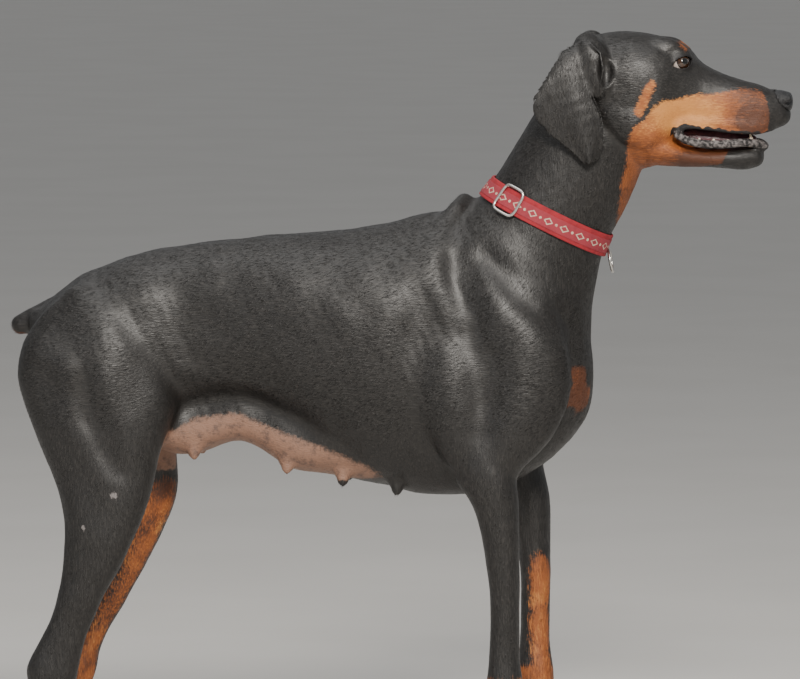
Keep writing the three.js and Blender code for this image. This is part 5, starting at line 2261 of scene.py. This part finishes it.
    def ring_line(self, top: float) -> Array:
        """Lay out the middle of the ring's wire, which hangs at the throat and leans forward.

        Args:
            top: How far the outer face of the strap stands off the neck.

        Returns:
            The points, all the way round.
        """
        throat, drop = np.array([0.0]), np.array([self.ring_drop])
        hang = self.place(throat, self.radius(throat, drop) + top + self.wire, drop)[0]
        turns = np.linspace(0, 2 * math.pi, 60, endpoint=False)
        fall = self.ring_radius * (1 - np.cos(turns))
        return hang + np.stack([self.ring_lean * fall, self.ring_radius * np.sin(turns), -fall], axis=1)


# The coat


MIDRIFF = -0.06
LEG_COAT_FOOT = 0.077
PAW_COAT_FOOT = 0.008
PAW_COAT_TOP = 0.076
TUFTS_IN_A_PIECE = 49_500
TUFTS_ON_THE_PAWS = 24_000
FACE_BACK = 0.262
DOWN_THE_NECK = (-0.45, 0, -0.9)
STRAY = 0.10
SUNK = 0.00012
BALD_CUT = 1.4
CHART_PATCH = 0.0015


@dataclass
class Tufts:
    """Short hair laid over a skin in thin, overlapping tufts."""

    name: str
    skin: Skin
    count: int
    length: float
    thick: float
    lift: float
    seed: int
    way: Callable[[Array], Array]
    chart: Callable[[Array], Array]
    where: Callable[[Array], Array]

    def build(self, material: Material) -> None:
        """Make the tufts as one piece.

        Args:
            material: What the piece is dressed in.
        """
        rng = np.random.default_rng(self.seed)
        points, faces, normals = self.skin.points, self.skin.faces, self.skin.normals
        corner = points[faces]
        area = np.linalg.norm(np.cross(corner[:, 2] - corner[:, 0], corner[:, 3] - corner[:, 1]), axis=1)
        centre = corner.mean(axis=1)
        weight = area * self.where(centre)
        marks = self.skin.marks
        bald = np.maximum(np.maximum(marks["bare"], marks["lip"]), marks["wet"])[faces].mean(axis=1)
        weight *= np.clip(1 - BALD_CUT * bald, 0, 1)
        pick = rng.choice(len(faces), self.count, p=weight / weight.sum())
        u, v = rng.random(self.count), rng.random(self.count)
        share = np.stack([(1 - u) * (1 - v), u * (1 - v), u * v, (1 - u) * v], axis=1)

        def read(values: Array) -> Array:
            """Read values at the picked places."""
            chosen = values[faces[pick]]
            return np.einsum("nk,nk...->n...", share, chosen)

        root = read(points)
        normal = unit(read(normals))
        stray = STRAY * rng.normal(size=(self.count, 3))
        lie = lie_of(normal, self.way(root) + stray)
        aside = np.cross(normal, lie)
        size = (self.length * rng.uniform(0.65, 1.3, self.count))[:, None]
        wide = (self.thick * rng.uniform(0.7, 1.3, self.count))[:, None]
        rise = (self.lift * rng.uniform(0.5, 1.4, self.count))[:, None]
        back = root - lie * size * 0.12 - normal * SUNK
        ridge = root + lie * size * 0.35 + normal * 0.2 * rise
        tip = root + lie * size + normal * 0.7 * rise
        corners = np.stack([back - aside * wide, back + aside * wide, ridge, tip], axis=1).reshape(-1, 3)
        first = np.arange(self.count)[:, None] * 4
        pattern = np.array([[0, 2, 1], [0, 3, 2], [1, 2, 3], [0, 1, 3]])
        triangles = (first[:, :, None] + pattern[None]).reshape(-1, 3)
        values = {key: np.repeat(read(mark), 4) for key, mark in marks.items()}
        piece = make_piece(self.name, corners, triangles, material, values)
        patch = CHART_PATCH * np.array([[-1, -1], [1, -1], [1, 1], [-1, 1]])
        places = self.chart(root)[:, None, :] + patch
        layer = piece.data.uv_layers.new(name="OFBake")
        index = np.empty(len(piece.data.loops), np.int32)
        piece.data.loops.foreach_get("vertex_index", index)
        layer.data.foreach_set("uv", places.reshape(-1, 2)[index].astype(np.float32).ravel())


def fit(value: Array, low: float, high: float, start: float = 0.02, end: float = 0.98) -> Array:
    """Spread a range over part of a chart."""
    return start + (end - start) * np.clip((value - low) / (high - low), 0.0, 1.0)


def trunk_chart(points: Array) -> Array:
    """Unwrap the trunk round its long axis."""
    angle = np.arctan2(points[:, 1], -(points[:, 2] - 0.5)) / (2 * math.pi) + 0.5
    return np.stack([fit(points[:, 0], -0.45, 0.30), fit(angle, 0, 1)], axis=1)


def leg_chart(points: Array) -> Array:
    """Unwrap the legs round their long axes, in four strips.

    Args:
        points: The points, in metres, one in each row.

    Returns:
        The place of each in the chart.
    """
    x, y, z = points.T
    fore = x > BETWEEN_LEGS
    strip = np.where(fore, 2, 0) + np.where(y > 0, 1, 0)
    middle = np.where(fore, np.where(y > 0, 0.165, 0.12), -0.37)
    angle = np.arctan2(np.abs(y) - 0.073, x - middle) / (2 * math.pi) + 0.5
    return np.stack([(strip + fit(angle, 0, 1, 0.04, 0.96)) / 4, fit(z, 0.0, 0.48)], axis=1)


def head_chart(points: Array) -> Array:
    """Unwrap the head and neck round an upright plane, one half for each side.

    Args:
        points: The points, in metres, one in each row.

    Returns:
        The place of each in the chart.
    """
    x, y, z = points.T
    angle = np.arctan2(np.abs(y), z - 0.765 + (x < 0.24) * (0.24 - x) * 1.2) / math.pi
    half = np.where(y > 0, 0.5, 0.0)
    return np.stack([fit(x, 0.06, 0.43), half + fit(angle, 0, 1, 0.01, 0.49)], axis=1)


def body_way(points: Array) -> Array:
    """Tell which way the hair of the body runs.

    Args:
        points: The points, in metres, one in each row.

    Returns:
        One direction for each place.
    """
    legs = smooth_step(0.46, 0.36, points[:, 2])[:, None]
    neck = neck_share(points)[:, None]
    way = np.array([-1, 0, -0.35]) * (1 - legs) + np.array([-0.12, 0, -1]) * legs
    return way * (1 - neck) + np.array(DOWN_THE_NECK) * neck


def head_way(points: Array) -> Array:
    """Tell which way the hair of the head and ears runs.

    Args:
        points: The points, in metres, one in each row.

    Returns:
        One direction for each place.
    """
    x, _, z = points.T
    ear = ear_share(points)[:, None]
    neck = (smooth_step(0.76, 0.71, z) * smooth_step(0.28, 0.25, x))[:, None] * (1 - ear)
    way = np.array([-1, 0, 0.05]) * (1 - neck) + np.array(DOWN_THE_NECK) * neck
    return way * (1 - ear) + np.array([0.05, 0, -1]) * ear


def above_legs(points: Array) -> Array:
    """Tell which places are on the trunk and the base of the neck, short of the collar."""
    return (points[:, 2] >= LEG_TOP) & ((points - COLLAR_MIDDLE) @ COLLAR_AXIS < -COLLAR_COVER)


def front_half(points: Array) -> Array:
    """Tell which places are on the front half of the trunk."""
    return above_legs(points) & (points[:, 0] > MIDRIFF)


def rear_half(points: Array) -> Array:
    """Tell which places are on the rear half of the trunk."""
    return above_legs(points) & (points[:, 0] <= MIDRIFF)


def on_legs(points: Array) -> Array:
    """Tell which places are on the legs and the lower flanks, above the feet."""
    return (points[:, 2] < LEG_TOP) & (points[:, 2] > LEG_COAT_FOOT)


def on_paws(points: Array) -> Array:
    """Tell which places are on the upper sides of the feet."""
    return (points[:, 2] > PAW_COAT_FOOT) & (points[:, 2] < PAW_COAT_TOP)


def past_collar(points: Array) -> Array:
    """Tell which places are beyond the collar."""
    return (points - COLLAR_MIDDLE) @ COLLAR_AXIS > COLLAR_COVER


def on_face(points: Array) -> Array:
    """Tell which places are on the face."""
    return past_collar(points) & (points[:, 0] > FACE_BACK)


def on_nape(points: Array) -> Array:
    """Tell which places are on the upper neck, the ears and the back of the skull."""
    return past_collar(points) & (points[:, 0] <= FACE_BACK)


def coat_pieces(body: Skin, head: Skin, paws: Skin) -> list[Tufts]:
    """Lay out the coat in pieces, with the smallest tufts on the face and the feet.

    Args:
        body: The skin of the body.
        head: The skin of the head.
        paws: The skins of the feet, as one.

    Returns:
        The pieces.
    """
    whole, small = TUFTS_IN_A_PIECE, TUFTS_ON_THE_PAWS
    return [
        Tufts("coat_front", body, whole, 0.0060, 0.00026, 0.00034, 51, body_way, trunk_chart, front_half),
        Tufts("coat_rear", body, whole, 0.0060, 0.00026, 0.00034, 52, body_way, trunk_chart, rear_half),
        Tufts("coat_legs", body, whole, 0.0048, 0.00024, 0.00030, 53, body_way, leg_chart, on_legs),
        Tufts("coat_paws", paws, small, 0.0030, 0.00018, 0.00020, 54, body_way, leg_chart, on_paws),
        Tufts("coat_face", head, whole, 0.0027, 0.00015, 0.00018, 55, head_way, head_chart, on_face),
        Tufts("coat_nape", head, whole, 0.0044, 0.00022, 0.00028, 56, head_way, head_chart, on_nape),
    ]


# The studio


# Each light's name, place, width, power and colour
LIGHTS = (
    ("key_light", (0.9, -3.6, 2.7), 0.9, 210, (1.0, 0.95, 0.88)),
    ("top_light", (-0.4, -0.9, 4.2), 3.6, 90, (1.0, 0.99, 0.97)),
    ("fill_light", (-2.6, -3.4, 1.4), 2.6, 16, (0.97, 0.98, 1.0)),
    ("rim_light", (-1.6, 2.4, 3.8), 2.4, 14, (1.0, 0.98, 0.95)),
)


@dataclass
class Studio:
    """Pale floor, soft lights and the camera at the photograph's angle."""

    azimuth: float = math.radians(5)
    elevation: float = math.radians(4.5)
    distance: float = 8.0
    view_wide: float = 0.8889
    middle: tuple[float, float, float] = (0.0, 0.0, 0.5117)

    def build(self) -> None:
        """Make the floor, the lights and the camera."""
        self.floor()
        for light in LIGHTS:
            self.area(*light)
        world = bpy.data.worlds.new("pale_room")
        bpy.context.scene.world = world
        world.use_nodes = True
        background = world.node_tree.nodes["Background"]
        background.inputs["Color"].default_value = (0.86, 0.88, 0.90, 1)
        background.inputs["Strength"].default_value = 0.42
        self.camera()

    def floor(self) -> None:
        """Make the floor as a wide, flat disc."""
        reach, sides = 70.0, 96
        angle = np.linspace(0, 2 * math.pi, sides, endpoint=False)
        points = np.stack([reach * np.cos(angle), reach * np.sin(angle), 0 * angle], axis=1)
        mesh = bpy.data.meshes.new("studio_floor")
        mesh.from_pydata([tuple(p) for p in points], [], [tuple(range(sides))])
        mesh.materials.append(plain_material("pale_floor", self.floor_shader))
        floor = bpy.data.objects.new("studio_floor", mesh)
        bpy.context.scene.collection.objects.link(floor)

    @staticmethod
    def floor_shader(nodes: Nodes) -> Node:
        """Build the shader of the floor."""
        cloud = nodes.noise(nodes.place(), 3.0, 3.0, 0.5)
        colour = nodes.mix(nodes.ramp(cloud, 0.3, 0.7), (0.58, 0.56, 0.53, 1), (0.60, 0.58, 0.55, 1))
        return nodes.surface(colour, 0.85)

    def area(
        self, name: str, place: Sequence[float], size: float, power: float, colour: Sequence[float]
    ) -> None:
        """Hang a soft light that faces the animal.

        Args:
            name: The light's name.
            place: Where it hangs.
            size: How wide it is.
            power: How strong it is.
            colour: Its colour.
        """
        light = bpy.data.lights.new(name, "AREA")
        light.shape = "DISK"
        light.size, light.energy, light.color = size, power, colour
        lamp = bpy.data.objects.new(name, light)
        lamp.location = place
        lamp.rotation_euler = (Vector(self.middle) - Vector(place)).to_track_quat("-Z", "Y").to_euler()
        bpy.context.scene.collection.objects.link(lamp)

    def camera(self) -> None:
        """Set the camera up with a long lens."""
        data = bpy.data.cameras.new("photo_camera")
        data.sensor_width = 36.0
        data.lens = data.sensor_width * self.distance / self.view_wide
        data.clip_end = 200.0
        camera = bpy.data.objects.new("photo_camera", data)
        level = math.cos(self.elevation)
        turn = (math.sin(self.azimuth) * level, -math.cos(self.azimuth) * level)
        way = Vector((*turn, math.sin(self.elevation)))
        camera.location = Vector(self.middle) + way * self.distance
        camera.rotation_euler = (-way).to_track_quat("-Z", "Y").to_euler()
        bpy.context.scene.collection.objects.link(camera)
        bpy.context.scene.camera = camera


def main() -> None:
    """Build the dressed dog, piece by piece."""
    logging.basicConfig(level=logging.INFO, format="%(message)s")
    coat = Coat()
    grain, colours = grain_group(), coat.colour_group()
    skin_material = coat.dress("coat_skin", grain, colours, 0.0006)
    tuft_material = coat.dress("coat_tufts", grain, colours, 0.0002)
    horn = Horn().dress()
    body = BodySkin().build(skin_material)
    log.info("body done")
    paws = [Paw(foot, side).build(skin_material, horn) for foot in FEET for side in SIDES]
    log.info("paws done")
    head = HeadSkin().build(skin_material)
    log.info("head done")
    Eyes().build(EyeFinish())
    Nose().build(NoseLeather())
    Mouth().build(Enamel(), MouthFlesh())
    log.info("eyes, nose and mouth done")
    Collar().build(
        Webbing("collar_webbing", (0.36, 0.016, 0.025, 1), (0.16, 0.009, 0.014, 1)),
        Webbing("collar_ribbon", (0.33, 0.032, 0.046, 1), (0.20, 0.020, 0.030, 1), (0.56, 0.44, 0.34, 1)),
        Steel(),
    )
    log.info("collar done")
    for tufts in coat_pieces(body, head, joined(paws)):
        tufts.build(tuft_material)
    log.info("coat done")
    Studio().build()


if __name__ == "__main__":
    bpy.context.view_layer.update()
    main()
